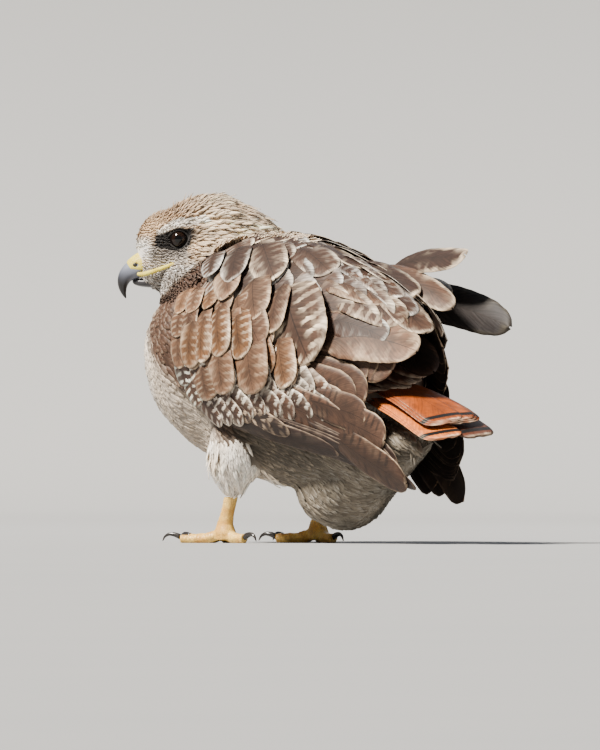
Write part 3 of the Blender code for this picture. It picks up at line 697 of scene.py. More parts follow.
def unroll(roots, centre=None):
    """Return the place of roots on the unrolled skin, between 0 and 1."""
    if centre is None:
        around = around_body(roots) / 360.0 + 0.5
        along = (roots[:, 0] + 120.0) / 400.0
    else:
        flat = roots - np.array(centre)
        around = np.arctan2(flat[:, 1], flat[:, 0]) / (2.0 * math.pi) + 0.5
        along = np.arctan2(flat[:, 2], np.hypot(flat[:, 0], flat[:, 1])) / math.pi + 0.5
    return np.clip(np.stack((around, along), 1), 0.004, 0.996)


def bake_map(piece, template, coat, centre=None, cells=False):
    """Add the OFBake map: a patch at each root, or a cell for each feather."""
    count = len(coat["path"])
    vane = numbers(piece.data.uv_layers["vane"].data, "uv", 2).reshape(count, -1, 2).astype(float)
    if cells:
        side = math.ceil(math.sqrt(count))
        number = np.arange(count)
        corner = np.stack((number % side, number // side), 1)[:, None, :] / side
        vertex = numbers(template.loops, "vertex_index", 1, int)
        under = (numbers(template.vertices, "co", 3)[vertex, 2] < -0.5)[None, :]
        across = 0.03 + 0.44 * vane[..., 0] + 0.5 * under
        values = corner + np.stack((across, 0.02 + 0.96 * vane[..., 1]), -1) / side
    else:
        roots = unroll(np.array(coat["path"], float)[:, 0], centre)
        values = roots[:, None, :] + (vane - 0.5) * PATCH
    layer = piece.data.uv_layers.new(name="OFBake")
    layer.data.foreach_set("uv", values.astype(np.float32).ravel())


# %% [markdown]
# ## Small feathers by the thousand
# The small feathers need roots spread evenly and a direction each. Candidate places are the
# skin's own faces in a shuffled order, and one is kept if no root is nearer than the spacing.
# The direction follows the plumage: away from the bill on the head, back and down on the body.
# From its root each feather is traced over the skin in three steps, so that it hugs the form.

# %% Lie of the plumage
centres = in_millimetres(numbers(skin.data.polygons, "center", 3))
face_normals = numbers(skin.data.polygons, "normal", 3).astype(float)
skin_tree = BVHTree.FromPolygons([tuple(p) for p in points_of(skin)],
                                 [tuple(f.vertices) for f in skin.data.polygons])
BILL_ROOT = head_point(34.0, 0.0, 199.0)


def head_share(place):
    """Return 1 on the head and 0 away from it, with a soft change on the neck."""
    forward, side, z = in_head(np.array([place]))[0]
    near = 1.0 - ease(math.hypot(forward - HEAD_CENTRE, side), 40, 60)
    return float(near * ease(z, 172, 196))


def lie(place, normal, region):
    """Return the direction in which feathers lie at a place of the skin."""
    if region == "thigh":
        flow = Vector((0.12, 0.0, -1.0))
    elif region == "undertail":
        flow = Vector((1.0, 0.0, -0.75))
    else:
        flow = Vector((1.0, 0.0, -0.62))
        share = head_share(place)
        if share > 0.0:
            away = (place - BILL_ROOT).normalized()
            away.z -= 0.25
            flow = flow.normalized().lerp(away.normalized(), share)
    flow -= normal * flow.dot(normal)
    return flow.normalized()


FARTHEST_DRIFT = 0.22
KEPT_DRIFT = 0.08


def trace(root, normal, length, region, heights, sway):
    """Return four places over the skin from root to tip, and the outward directions there."""
    places, outs = [root.copy()], [normal.copy()]
    here, out = root.copy(), normal.copy()
    for _ in range(3):
        way = lie(here, out, region)
        way = (way + out.cross(way) * sway).normalized()
        target = here + way * (length / 3.0)
        found, fresh = skin_tree.find_nearest(target)[:2]
        drift = found - target
        if drift.length > length * FARTHEST_DRIFT:
            found = target + drift.normalized() * length * KEPT_DRIFT
            fresh = out
        here = found
        out = (out * 0.4 + fresh * 0.6).normalized()
        places.append(here.copy())
        outs.append(out.copy())
    return [p + n * h for p, n, h in zip(places, outs, heights)], outs


CELL = 8.0
# A root nearer than the spacing still stays where its steps along the axes add up to more.
CORNER_SHARE = 1.25
NEIGHBOURS = [(i, j, k) for i in (-1, 0, 1) for j in (-1, 0, 1) for k in (-1, 0, 1)]


def scatter(keep, spacing, seed):
    """Return numbers of skin faces that lie in a region, evenly spaced."""
    order = np.random.default_rng(seed).permutation(np.flatnonzero(keep))
    cells = {}
    chosen = []
    for face in order:
        place = centres[face]
        cell = (place // CELL).astype(int)
        near = [other for step in NEIGHBOURS for other in cells.get(tuple(cell + step), ())]
        if near:
            apart = np.abs(np.array(near) - place)
            close = np.linalg.norm(apart, axis=1) < spacing[face]
            if np.any(close & (apart.sum(1) < spacing[face] * CORNER_SHARE)):
                continue
        cells.setdefault(tuple(cell), []).append(place)
        chosen.append(face)
    return chosen


BLOWN_LIFT = 2.6


def add_wisp(coat, path, normals, width):
    """Add one small feather, a little arched across, to a coat."""
    for key, value in (("path", path), ("normal", normals), ("width", width), ("camber", 0.3)):
        coat[key].append(value)


def small_coat(faces, region, size, seed, blown=0.0, sway=0.1):
    """Return a coat of small feathers rooted on the given faces of the skin."""
    pick = np.random.default_rng(seed)
    coat = {"path": [], "normal": [], "width": [], "camber": []}
    for face in faces:
        root, normal = Vector(centres[face]), Vector(face_normals[face])
        length, width, lift = size(root) if callable(size) else size
        length *= pick.uniform(0.85, 1.15)
        if pick.uniform() < blown:
            lift *= BLOWN_LIFT
        heights = (-0.8, 0.3 * lift + 0.3, 0.75 * lift + 0.4, lift * pick.uniform(0.9, 1.35) + 0.5)
        path, outs = trace(root, normal, length, region, heights, pick.normal(0.0, sway))
        add_wisp(coat, path, outs, width * pick.uniform(0.85, 1.15))
    return coat


def colour_coat(coat, rim, marks, spread, seed, shift=None, rim_share=1.0):
    """Give each feather the colour of its place, a little lighter or darker than the next."""
    pick = np.random.default_rng(seed)
    roots = np.array([path[1] for path in coat["path"]])
    colours = coat_colour(roots) if shift is None else shift(roots)
    count = len(roots)
    light = np.clip(colours * (1.0 + pick.normal(0.0, spread, (count, 1))), 0.0, 1.0)
    coat["tint"] = with_alpha(light)
    coat["rim"] = with_alpha(blend(light, rim, rim_share * np.clip(light.mean(1) * 6.0, 0.0, 1.0)))
    coat["marks"] = np.tile(marks, (count, 1)) * pick.uniform(0.5, 1.3, (count, 1))


# %% [markdown]
# ## Which feather grows where
# The face has the smallest feathers of all, the crown has narrow ones, and the nape has long
# shaggy ones that the wind lifts. Breast and belly have round soft feathers, and the thighs
# wear loose trousers. No feather grows on the eye or at the root of the bill.

# %% Regions of the skin


def between(values, low, high):
    """Return true where values lie between two bounds."""
    return (values > low) & (values < high)


WINGS_END = 150
NECK_Z = 172
HEAD_REACH = 58
EYE_ROOM = 9.4
CERE_FORWARD = 33.5
head_f, head_s, head_z = in_head(centres).T
skin_x, skin_y, skin_z = centres.T
skin_wide = np.abs(skin_y)
on_head = (skin_z > NECK_Z) & (np.hypot(head_f - HEAD_CENTRE, head_s) < HEAD_REACH)
eye_gap = np.min([np.linalg.norm(centres - np.array(eye), axis=1) for eye in EYES.values()], 0)
bare = (eye_gap < EYE_ROOM) | ((head_f > CERE_FORWARD) & between(head_z, 180, 212))
body_angle = np.abs(around_body(centres))
under_mantle = between(skin_x, 4, WINGS_END) & (body_angle < 46)
under_wing = between(skin_x, -14, WINGS_END) & between(body_angle, 40, 106)
on_thigh = np.zeros(len(centres), bool)
for node in ("thigh_left", "thigh_right"):
    low, high = (np.array(corner) / MM - np.array(ORIGIN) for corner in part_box(node))
    on_thigh |= np.all(between(centres, low - 1.5, high + 1.5), axis=1)
on_thigh &= (skin_z < 78) & (skin_wide > 17)
on_vent = (skin_x > 46) & (skin_z < 100) & (skin_wide < 42) & ~on_thigh
on_vent &= (skin_x > 120) | (skin_z < 46) | ((skin_wide < 34) & (skin_z < 70))
on_tail = (skin_x > 134) & (skin_z > 84)
on_body = ~(on_head | under_mantle | under_wing | on_thigh | on_vent | on_tail)


def face_size(root):
    """Return length, width and lift of a feather of the head at a root."""
    forward, _, z = in_head(np.array([root]))[0]
    back = float(ease(-forward, -22, 34))
    gap = min((root - eye).length for eye in EYES.values())
    small = float(ease(gap, 8, 20))
    length = (3.2 + 11.5 * back) * (0.55 + 0.45 * small)
    width = (1.5 + 2.3 * back) * (0.6 + 0.4 * small)
    lift = 0.5 + 1.3 * back + 1.4 * float(ease(z, 226, 240) * ease(forward, -16, 0))
    return length, width, lift


head_spacing = 1.1 + 1.4 * ease(-head_f, -22, 34) + 0.5 * ease(-head_z, -186, -172)
head_faces = scatter(on_head & ~bare, head_spacing, 21)
head_coat = small_coat(head_faces, "head", face_size, 22, 0.03, 0.22)
colour_coat(head_coat, COLOUR["white"], (0.7, 0.0, 0.2, 0.0), 0.22, 23, rim_share=0.4)
print("head feathers:", len(head_faces))

# %% Body, thighs and vent
THIGH_SIZE = (13.0, 3.4, 1.3)
VENT_SIZE = (24.0, 5.6, 1.1)
THIGH_SPACING = 2.5
VENT_SPACING = 3.4
BEFORE_TAIL = 150.0


def body_size(root):
    """Return length, width and lift of a feather of breast, belly or flank."""
    front = float(ease(-root.x, 40, 90)) * float(ease(-root.z, -200, -150))
    high = float(ease(root.z, 150, 190))
    soft = float(ease(-root.z, -120, -80))
    return 18.0 - 2.0 * front - 2.0 * high + 4.0 * soft, 8.6 - 3.2 * soft, 1.0 - 0.3 * soft


body_spacing = 4.2 - 0.8 * ease(-skin_z, -120, -80)
body_faces = scatter(on_body & (skin_x < BEFORE_TAIL), body_spacing, 31)
thigh_faces = scatter(on_thigh, np.full(len(centres), THIGH_SPACING), 32)
vent_faces = scatter(on_vent, np.full(len(centres), VENT_SPACING), 33)
body_coat = small_coat(body_faces, "body", body_size, 34)
thigh_coat = small_coat(thigh_faces, "thigh", THIGH_SIZE, 35, 0.06, 0.18)
vent_coat = small_coat(vent_faces, "undertail", VENT_SIZE, 36)


def thigh_colour(roots):
    """Return the thighs' cream-white."""
    return patchy("white", "cream", 0.9 * ripple(roots, 9.0))


def vent_colour(roots):
    """Return the cream of vent and undertail, darkened to grey olive as painted shade, with paler patches."""
    return patchy("shaded_cream", "cream", 0.22 * ripple(roots, 14.0))


colour_coat(body_coat, COLOUR["cream"], (0.8, 0.0, 0.35, 0.0), 0.1, 41, rim_share=0.5)
colour_coat(thigh_coat, COLOUR["white"], (0.4, 0.0, 0.1, 0.0), 0.06, 42, thigh_colour)
colour_coat(vent_coat, COLOUR["white"], (0.4, 0.0, 0.1, 0.0), 0.07, 43, vent_colour, 0.4)
print("body:", len(body_faces), "thighs:", len(thigh_faces), "vent:", len(vent_faces))

# %% [markdown]
# ## Long feathers in rows
# Each tract of the wing is a row of like feathers from front to back. A row says where its first
# and last feather are rooted, how long they are, how far their tips drop down the side, how wide
# they are and how high they lie. Rows in front overlap those behind, as tiles do.

# %% Rows of feathers


FEATHER = ("path", "normal", "width", "lean", "skew", "camber", "tint", "rim", "marks")


def new_coat():
    """Return an empty coat."""
    return {key: [] for key in FEATHER}


def add_feather(coat, path, normals, width, lean, skew, camber, tint, rim, marks):
    """Add one feather to a coat."""
    values = (path, normals, width, lean, skew, camber, tuple(tint) + (1.0,), tuple(rim) + (1.0,), marks)
    for key, value in zip(FEATHER, values):
        coat[key].append(value)


def rising(height):
    """Return the heights of a path that comes out of the plumage and ends at a height."""
    return height - 3.0, height - 0.6, height


def surface_path(start, end, heights):
    """Return four places and normals over the body's form between two places."""
    share = np.array(KNOTS)
    x = start[0] + (end[0] - start[0]) * share
    angle = start[1] + (end[1] - start[1]) * share
    return body_points(x, angle, np.interp(share, (0.0, 0.34, 1.0), heights))


def add_row(coat, side, count, x_range, roots, length, drop, width, heights, look, tilt=0.7, skew=0.0):
    """Add a row of like feathers, from front to back, to a coat."""
    for k in range(count):
        share = k / max(count - 1, 1)
        x = np.interp(share, (0, 1), x_range) + chance.uniform(-1.5, 1.5)
        angle = np.interp(share, (0, 1), roots) + chance.uniform(-1.0, 1.0)
        reach = np.interp(share, (0, 1), length) * chance.uniform(0.94, 1.06)
        fall = angle + np.interp(share, (0, 1), drop) + chance.uniform(-2.0, 2.0)
        wide = np.interp(share, (0, 1), width) * chance.uniform(0.94, 1.06)
        path, normals = surface_path((x, side * angle), (x + reach, side * fall), heights)
        add_feather(coat, path, normals, wide, tilt * side, skew * side, 0.07, *look())


def mixed(first, second, share, spread=0.1):
    """Return a palette colour between two, a little lighter or darker at random."""
    tone = 1.0 + chance.normal(0.0, spread)
    return np.clip(blend(COLOUR[first], COLOUR[second], share) * tone, 0.0, 1.0)


def scapular_look():
    """Return the look of a feather of the back: dark brown with a pale edge."""
    rim = mixed("cream", "white", chance.uniform(0, 1), 0.05)
    tint = mixed("umber", "brown", chance.uniform(0, 0.9))
    return tint, rim, (chance.uniform(0.5, 1), chance.uniform(0, 0.25), 0.9, 0)


def covert_look():
    """Return the look of a wing covert: softer brown, thin pale edge, some gold."""
    gold = 0.2 if chance.uniform() < 0.3 else 0.04
    tint = layered(mixed("brown", "tan", chance.uniform(0, 0.5)), ("gold", gold))
    return tint, mixed("cream", "buff", chance.uniform(0, 0.7)), (chance.uniform(0.3, 0.9), 0.15, 0.7, 0)


def greater_look():
    """Return the look of a greater covert: dark brown with pale spots in rows."""
    return mixed("umber", "brown", chance.uniform(0, 1)), mixed("cream", "white", 0.4), (0.55, 0.65, 0.5, 0)


def secondary_look():
    """Return the look of a secondary: brown, narrow dark bars, pale edge."""
    return mixed("brown", "umber", 0.3), mixed("cream", "buff", 0.6), (0.55, 0.7, 0.8, 0)


def primary_look():
    """Return the look of a primary: darker and greyer, with bars."""
    return mixed("umber", "slate", 0.3), mixed("buff", "grey", 0.4), (0.4, 0.7, 0.9, 0)


def plain_look():
    """Return the look of a broad plain feather with a faint edge."""
    return mixed("brown", "tan", chance.uniform(0, 0.4)), mixed("buff", "cream", 0.6), (0.6, 0.1, 0.9, 0)


def barred_look():
    """Return the look of a long feather of the back with broad white bars."""
    return mixed("umber", "brown", 0.7), COLOUR["cream"], (0.6, 0.75, 0.9, 0)


def gold_look():
    """Return the look of a covert with a golden wash and mottled bars."""
    return layered(mixed("brown", "umber", 0.4), ("gold", 0.25)), COLOUR["cream"], (0.8, 0.22, 0.8, 0)


# %% From a place in the picture to a place on the body
PIXEL = 0.715
AXIS_PIXEL = (272.0, 543.0)
VIEW = math.radians(55.0)
TOWARDS = Vector((math.sin(VIEW), -math.cos(VIEW), 0.0))
ASIDE = Vector((math.cos(VIEW), math.sin(VIEW), 0.0))
form_grid = np.meshgrid(np.arange(-105.0, 226.0), np.arange(-180.0, 20.0))
form_x, form_angle = (values.ravel() for values in form_grid)
form_place, form_out = body_points(form_x, form_angle, 0.0)
form_pixel = np.stack((AXIS_PIXEL[0] + form_place @ np.array(ASIDE) / PIXEL,
                       AXIS_PIXEL[1] - form_place[:, 2] / PIXEL), 1)
form_faces_view = form_out @ np.array(TOWARDS) > 0.04


def under_pixel(across, down):
    """Return x and angle of the place on the body's form that is seen at a pixel of the picture."""
    away = np.hypot(form_pixel[:, 0] - across, form_pixel[:, 1] - down)
    best = int(np.argmin(np.where(form_faces_view, away, 1e9)))
    return form_x[best], form_angle[best]


# %% Coats of the wings
# Rows: number, then from front to back the x and angle of the roots, the length, the tips' drop
# and the width; the heights from root to tip; the look; the tilt and the skew.
FRONT_ROW = (4, (-6, 26), (114, 111), (122, 152), (12, 24), (18, 24), (-4.0, -3.2, -2.8), primary_look,
             0.7, 0.2)
FLIGHT_ROWS = {
    -1: (
        (8, (40, 98), (108, 102), (168, 92), (27, -4), (22, 31), (-5.0, -3.6, -3.0), primary_look, 0.7, 0.2),
        (8, (70, 112), (99, 66), (86, 80), (4, -28), (30, 38), (-4.5, -1.6, -0.8), secondary_look, 0.7, 0.15),
        (4, (96, 120), (62, 44), (72, 66), (-16, -18), (34, 34), (-3.0, 1.6, 2.4), secondary_look, 0.7, 0.1)),
    1: (
        (9, (36, 96), (108, 100), (155, 78), (26, 10), (20, 25), (-5.0, -3.6, -3.0), primary_look, 1.0, 0.25),
        (8, (70, 108), (99, 60), (72, 56), (6, -12), (26, 38), (-4.5, -1.6, -0.8), secondary_look, 0.7, 0.15),
        (3, (98, 116), (56, 44), (56, 50), (-12, -14), (34, 34), (-3.0, 1.6, 2.4), secondary_look, 0.7, 0.1))}
COVERT_ROWS = (
    (10, (-4, 104), (106, 93), (26, 50), (14, 5), (19, 26), (-5.0, -1.2, -0.6), greater_look),
    (9, (-8, 106), (97, 82), (12, 42), (17, 9), (21, 27), (-5.0, -1.0, -0.3), greater_look),
    (8, (-14, 94), (87, 76), (4, 34), (21, 14), (24, 29), (-5.0, -0.2, 0.5), greater_look),
    (7, (-17, 84), (76, 68), (2, 26), (22, 16), (23, 28), (-5.0, 0.6, 1.3), covert_look),
    (7, (-20, 66), (64, 60), (2, 20), (20, 15), (21, 26), (-5.0, 1.3, 2.0), covert_look),
    (5, (-21, 40), (53, 52), (2, 14), (17, 14), (18, 24), (-4.0, 1.9, 2.6), covert_look),
    (5, (-14, 40), (104, 106), (42, 58), (14, 11), (14, 17), (-5.0, -2.0, -1.4), primary_look))
# The broad inner feathers of the near wing: root and tip in pixels, width and height.
NEAR_SECONDARIES = (
    ((300, 396), (366, 420), 27, 1.6), ((322, 412), (383, 440), 30, 0.8), ((318, 428), (404, 484), 34, -0.4))
# The long feathers of the far wing that hang below the tail: four places and a width.
# Their lower faces are turned to the camera and carry the flight feathers' painted shade.
HANGING_FACING = Vector((0.2, 1.0, -0.35)).normalized()
HANGING = (
    (((96, 56, 88), (122, 53, 70), (150, 48, 52), (178, 42, 30)), 24.0),
    (((92, 56, 82), (112, 54, 64), (134, 51, 50), (156, 46, 40)), 26.0),
    (((84, 57, 78), (100, 55, 62), (118, 53, 50), (136, 49, 42)), 26.0))


def make_wing_coats(side):
    """Return the two coats of a wing: its flight feathers and its coverts."""
    flight, covert = new_coat(), new_coat()
    add_row(flight, side, *FRONT_ROW)
    for root, tip, width, height in NEAR_SECONDARIES if side < 0 else ():
        path, normals = surface_path(under_pixel(*root), under_pixel(*tip), rising(height))
        add_feather(flight, path, normals, width, -0.5, 0.0, 0.11, *secondary_look())
    for row in FLIGHT_ROWS[side]:
        add_row(flight, side, *row)
    for row in COVERT_ROWS:
        add_row(covert, side, *row)
    return flight, covert


wing_coats = {side: make_wing_coats(side) for side in (-1, 1)}
for places, width in HANGING:
    add_feather(wing_coats[1][0], places, [HANGING_FACING] * 4, width, 0.0, 0.0, 0.12,
                COLOUR["umber"], COLOUR["buff"], (0.3, 0.4, 0.0, 0.0))

# %% Feathers of the back
# Feathers that stand out in the picture: root and tip in pixels, width, kind and height.
SEEN = (
    (304, 248, 374, 264, 16, "scapular", 7.9), (221, 258, 217, 281, 20, "scapular", 7.4),
    (243, 252, 239, 286, 26, "scapular", 7.4), (264, 250, 281, 285, 30, "scapular", 7.2),
    (300, 254, 334, 282, 28, "scapular", 7.0), (330, 260, 371, 289, 26, "scapular", 6.8),
    (352, 264, 410, 298, 28, "scapular", 6.9), (326, 286, 390, 310, 26, "plain", 5.8),
    (338, 268, 398, 292, 24, "scapular", 6.4), (368, 282, 428, 312, 26, "scapular", 5.8),
    (230, 268, 235, 300, 26, "plain", 6.2), (258, 280, 262, 322, 34, "plain", 6.0),
    (246, 306, 266, 348, 32, "plain", 5.0), (287, 288, 278, 336, 26, "plain", 6.2),
    (288, 290, 316, 365, 58, "barred", 5.8), (340, 298, 404, 331, 32, "scapular", 5.7),
    (382, 296, 440, 327, 30, "scapular", 5.2), (326, 345, 418, 357, 38, "plain", 4.6),
    (332, 322, 388, 345, 26, "scapular", 4.8),
    (196, 316, 193, 369, 26, "covert", 3.4), (209, 312, 206, 362, 26, "gold", 3.8),
    (222, 306, 226, 356, 28, "gold", 4.2), (240, 308, 247, 358, 30, "gold", 4.4),
    (252, 332, 259, 393, 42, "covert", 4.2), (221, 346, 228, 393, 32, "covert", 3.4),
    (203, 364, 212, 400, 28, "covert", 2.8), (281, 338, 290, 388, 32, "covert", 3.6))


LOOKS = {"scapular": scapular_look, "plain": plain_look, "barred": barred_look, "gold": gold_look,
         "covert": covert_look}


def make_seen_coat():
    """Return the coat of the feathers that are placed one by one."""
    coat = new_coat()
    for root_x, root_y, tip_x, tip_y, width, kind, height in SEEN:
        start, end = under_pixel(root_x, root_y), under_pixel(tip_x, tip_y)
        path, normals = surface_path(start, end, rising(height))
        add_feather(coat, path, normals, width, -0.2, 0.0, 0.09, *LOOKS[kind]())
    return coat


# Feathers that the wind lifts: four places, width, facing, colour and edge.
LIFTED = (
    (((92, 30, 186), (122, 37, 201), (153, 40, 203.5), (180, 40, 206)),
     25.0, (0.45, -0.6, 0.65), "umber", "cream"),
    (((100, 20, 197), (127, 23, 191), (155, 26, 181), (181, 29, 168)),
     22.0, (0.35, -0.6, 0.7), "brown", "cream"),
    (((88, 6, 200), (112, 9, 195.5), (136, 12, 187), (158, 14, 177)),
     24.0, (0.3, -0.5, 0.8), "umber", "cream"),
    (((98, 35, 180), (116, 41, 187), (134, 45, 186), (153, 46, 177)),
     20.0, (0.3, -0.3, 0.9), "umber", "cream"),
    # The last two lie on the far side in the body's shadow: their dark and slate tints and their edges are
    # painted shade.
    (((100, 10, 165), (125, 14, 152), (150, 16, 138), (176, 16, 123)),
     27.0, (0.5, -0.7, 0.4), "dark", "brown"),
    (((102, 33, 176), (130, 47, 173), (165, 55, 166), (206, 61, 154)),
     29.0, (0.6, -0.75, 0.15), "slate", "shaded_cream"))
# Rows of the back, as the rows of the wings but with one height; then for each side how much
# lower they lie and the share of the drop.
MANTLE_ROWS = (
    (6, (0, 112), (44, 34), (28, 60), (26, 10), (30, 36), 3.6),
    (7, (-6, 118), (33, 24), (28, 54), (26, 8), (28, 33), 4.6),
    (7, (-8, 108), (20, 14), (26, 48), (22, 8), (25, 30), 5.5),
    (7, (-6, 96), (8, 4), (26, 44), (16, 6), (22, 27), 6.4))
MANTLE_SIDES = ((-1, 1.3, 0.5), (1, 0.0, 1.0))


def make_mantle_coat():
    """Return the coat of the back: scapulars in tiers on each side, and those the wind lifts."""
    coat = new_coat()
    for side, low, turn in MANTLE_SIDES:
        for count, x_range, roots, length, drop, width, height in MANTLE_ROWS:
            heights = (-1.0, height - low, height + 0.6 - low)
            add_row(coat, side, count, x_range, roots, length, [turn * fall for fall in drop], width, heights,
                    scapular_look)
    for places, width, facing, tint, rim in LIFTED:
        add_feather(coat, places, [Vector(facing).normalized()] * 4, width, 0.0, 0.0, 0.2,
                    COLOUR[tint], COLOUR[rim], (0.7, 0.0, 0.8, 0.0))
    return coat


WISPS = 90
NAPE_FORWARD = (-70.7, -62.1, -52.8, -35.7, -17.8)
NAPE_Z = (218.8, 227.4, 237.4, 246.7, 248.8)
CAPE_WISPS = 380
CAPE_ACROSS = (206, 250, 290, 314)
CAPE_DOWN = (242, 235, 235, 241)
CAPE_RADIUS = 65.0
CAPE_LONGEST = 20.0


def add_nape_wisps(coat, pick):
    """Add wisps that stand off the outline of the nape."""
    steps = np.linspace(0.0, 1.0, 4)
    for k in range(WISPS):
        forward = pick.uniform(-60, -22)
        length = pick.uniform(11, 22)
        side = pick.uniform(-16, 16)
        start = np.interp(forward, NAPE_FORWARD, NAPE_Z) - 3.0
        end = np.interp(forward - 0.9 * length, NAPE_FORWARD, NAPE_Z) + pick.uniform(-2.5, 3.5) * (k % 3 == 0)
        start, end = start - 0.028 * side * side, end - 0.028 * side * side
        path = [head_point(forward - 0.9 * length * t, side * (1.0 + 0.1 * t),
                           start + (end - start) * t + 2.0 * t * (1.0 - t)) for t in steps]
        facing = (UP + HEAD_LEFT * side * 0.04 - HEAD_FORWARD * 0.3).normalized()
        add_wisp(coat, path, [facing] * 4, pick.uniform(1.3, 2.3))


def add_cape(coat, pick):
    """Add wisps over the lower edge of the nape, on both sides in turn."""
    for k in range(CAPE_WISPS):
        across = pick.uniform(CAPE_ACROSS[0], CAPE_ACROSS[-1])
        down = np.interp(across, CAPE_ACROSS, CAPE_DOWN) + pick.uniform(-6, 6)
        reach = pick.uniform(8, 19) * np.interp(across, (206, 225, 295, 314), (0.6, 1.0, 1.0, 0.6))
        start = under_pixel(across, down)
        end = under_pixel(across + pick.uniform(6, 18), down + 0.75 * reach)
        run = math.hypot(end[0] - start[0], math.radians(end[1] - start[1]) * CAPE_RADIUS)
        short = min(1.0, CAPE_LONGEST / run)
        end = (start[0] + (end[0] - start[0]) * short, start[1] + (end[1] - start[1]) * short)
        if k % 2:
            start, end = (start[0], -start[1]), (end[0], -end[1])
        path, normals = surface_path(start, end, (-1.5, 3.6, 6.6 + pick.uniform(0, 1.2)))
        add_wisp(coat, path, normals, pick.uniform(2.2, 3.8))


def make_nape_coat():
    """Return the coat of the nape: wisps that stand off its outline, and a cape over the back."""
    pick = np.random.default_rng(51)
    coat = {"path": [], "normal": [], "width": [], "camber": []}
    add_nape_wisps(coat, pick)
    add_cape(coat, pick)
    return coat


def nape_colour(roots):
    """Return the nape's cream, with darker streaks here and there."""
    cream = patchy("cream", "buff", ripple(roots, 5.0))
    return layered(cream, ("brown", 0.8 * ease(ripple(roots, 2.0, 5.0), 0.62, 0.8)))


nape_coat = make_nape_coat()
colour_coat(nape_coat, COLOUR["white"], (0.6, 0.0, 0.5, 0.0), 0.15, 52, nape_colour, 0.5)
mantle_coat = make_mantle_coat()
seen_coat = make_seen_coat()

# %% Feathers of the tail
PAIRS = 6
LOWER_FROM = 3
TAIL_COVERTS = 9
TAIL_FACING = Vector((0.25, -0.15, 1.0)).normalized()


def tail_path(start, end, rise):
    """Return four places at the tail's level between two ends, given as x and y."""
    x, y = (np.linspace(start[axis], end[axis], 4) for axis in (0, 1))
    return np.stack((x, y, tail_level(x, y) + rise), 1)


def make_tail_coat():
    """Return the coat of the tail: six middle feathers on top, and the six outer ones lower."""
    coat = new_coat()
    for k in range(PAIRS):
        for side in (-1, 1):
            lower = k >= LOWER_FROM
            layer = -0.9 * k - (0.45 if side > 0 else 0.0) - (5.0 if lower else 0.0)
            spread = 9.0 + 0.8 * k if lower else 2.5 + 2.2 * k
            start = (142.4, TAIL_Y + side * (2.0 + 1.6 * k))
            end = (251.0 - 0.8 * k if lower else 237.0 + 0.5 * k, TAIL_Y - 2.0 + side * spread)
            path = tail_path(start, end, layer + (1.0 if lower else 0.0) * np.linspace(0, 1, 4))
            colours = ("orange", "tan", 0.25) if lower and side < 0 else ("rufous", "orange", 0.12)
            tint = mixed(*colours, 0.05)
            # The far side's lower feathers are tinted dark umber in place of rufous, as painted shade under
            # the tail.
            if lower and side > 0:
                tint = mixed("umber", "rufous", 0.3, 0.05)
            add_feather(coat, path, [TAIL_FACING] * 4, 29.0, 0.25 * side, -0.2 * side, 0.05,
                        tint, COLOUR["cream"], (0.5, 0.0, 0.6, 0.0))
    return coat


def make_tail_covert_coat():
    """Return the short feathers over the tail's root."""
    coat = new_coat()
    for k in range(TAIL_COVERTS):
        aside = k - (TAIL_COVERTS - 1) / 2.0
        start = (124.0, TAIL_Y + aside * 5.5)
        end = (176.0 - 3.0 * abs(aside), TAIL_Y + aside * 6.5)
        path = tail_path(start, end, 1.0 + 0.8 * (k % 2) - 0.1 * abs(aside))
        add_feather(coat, path, [TAIL_FACING] * 4, 18.0, 0.2, 0.0, 0.1,
                    mixed("rufous", "brown", 0.5), COLOUR["cream"], (0.5, 0.0, 0.5, 0.0))
    return coat


tail_coat = make_tail_coat()
tail_coverts = make_tail_covert_coat()
print("long feathers:", sum(len(c["path"]) for c in (mantle_coat, tail_coat, tail_coverts)),
      "and", [len(c["path"]) for pair in wing_coats.values() for c in pair])
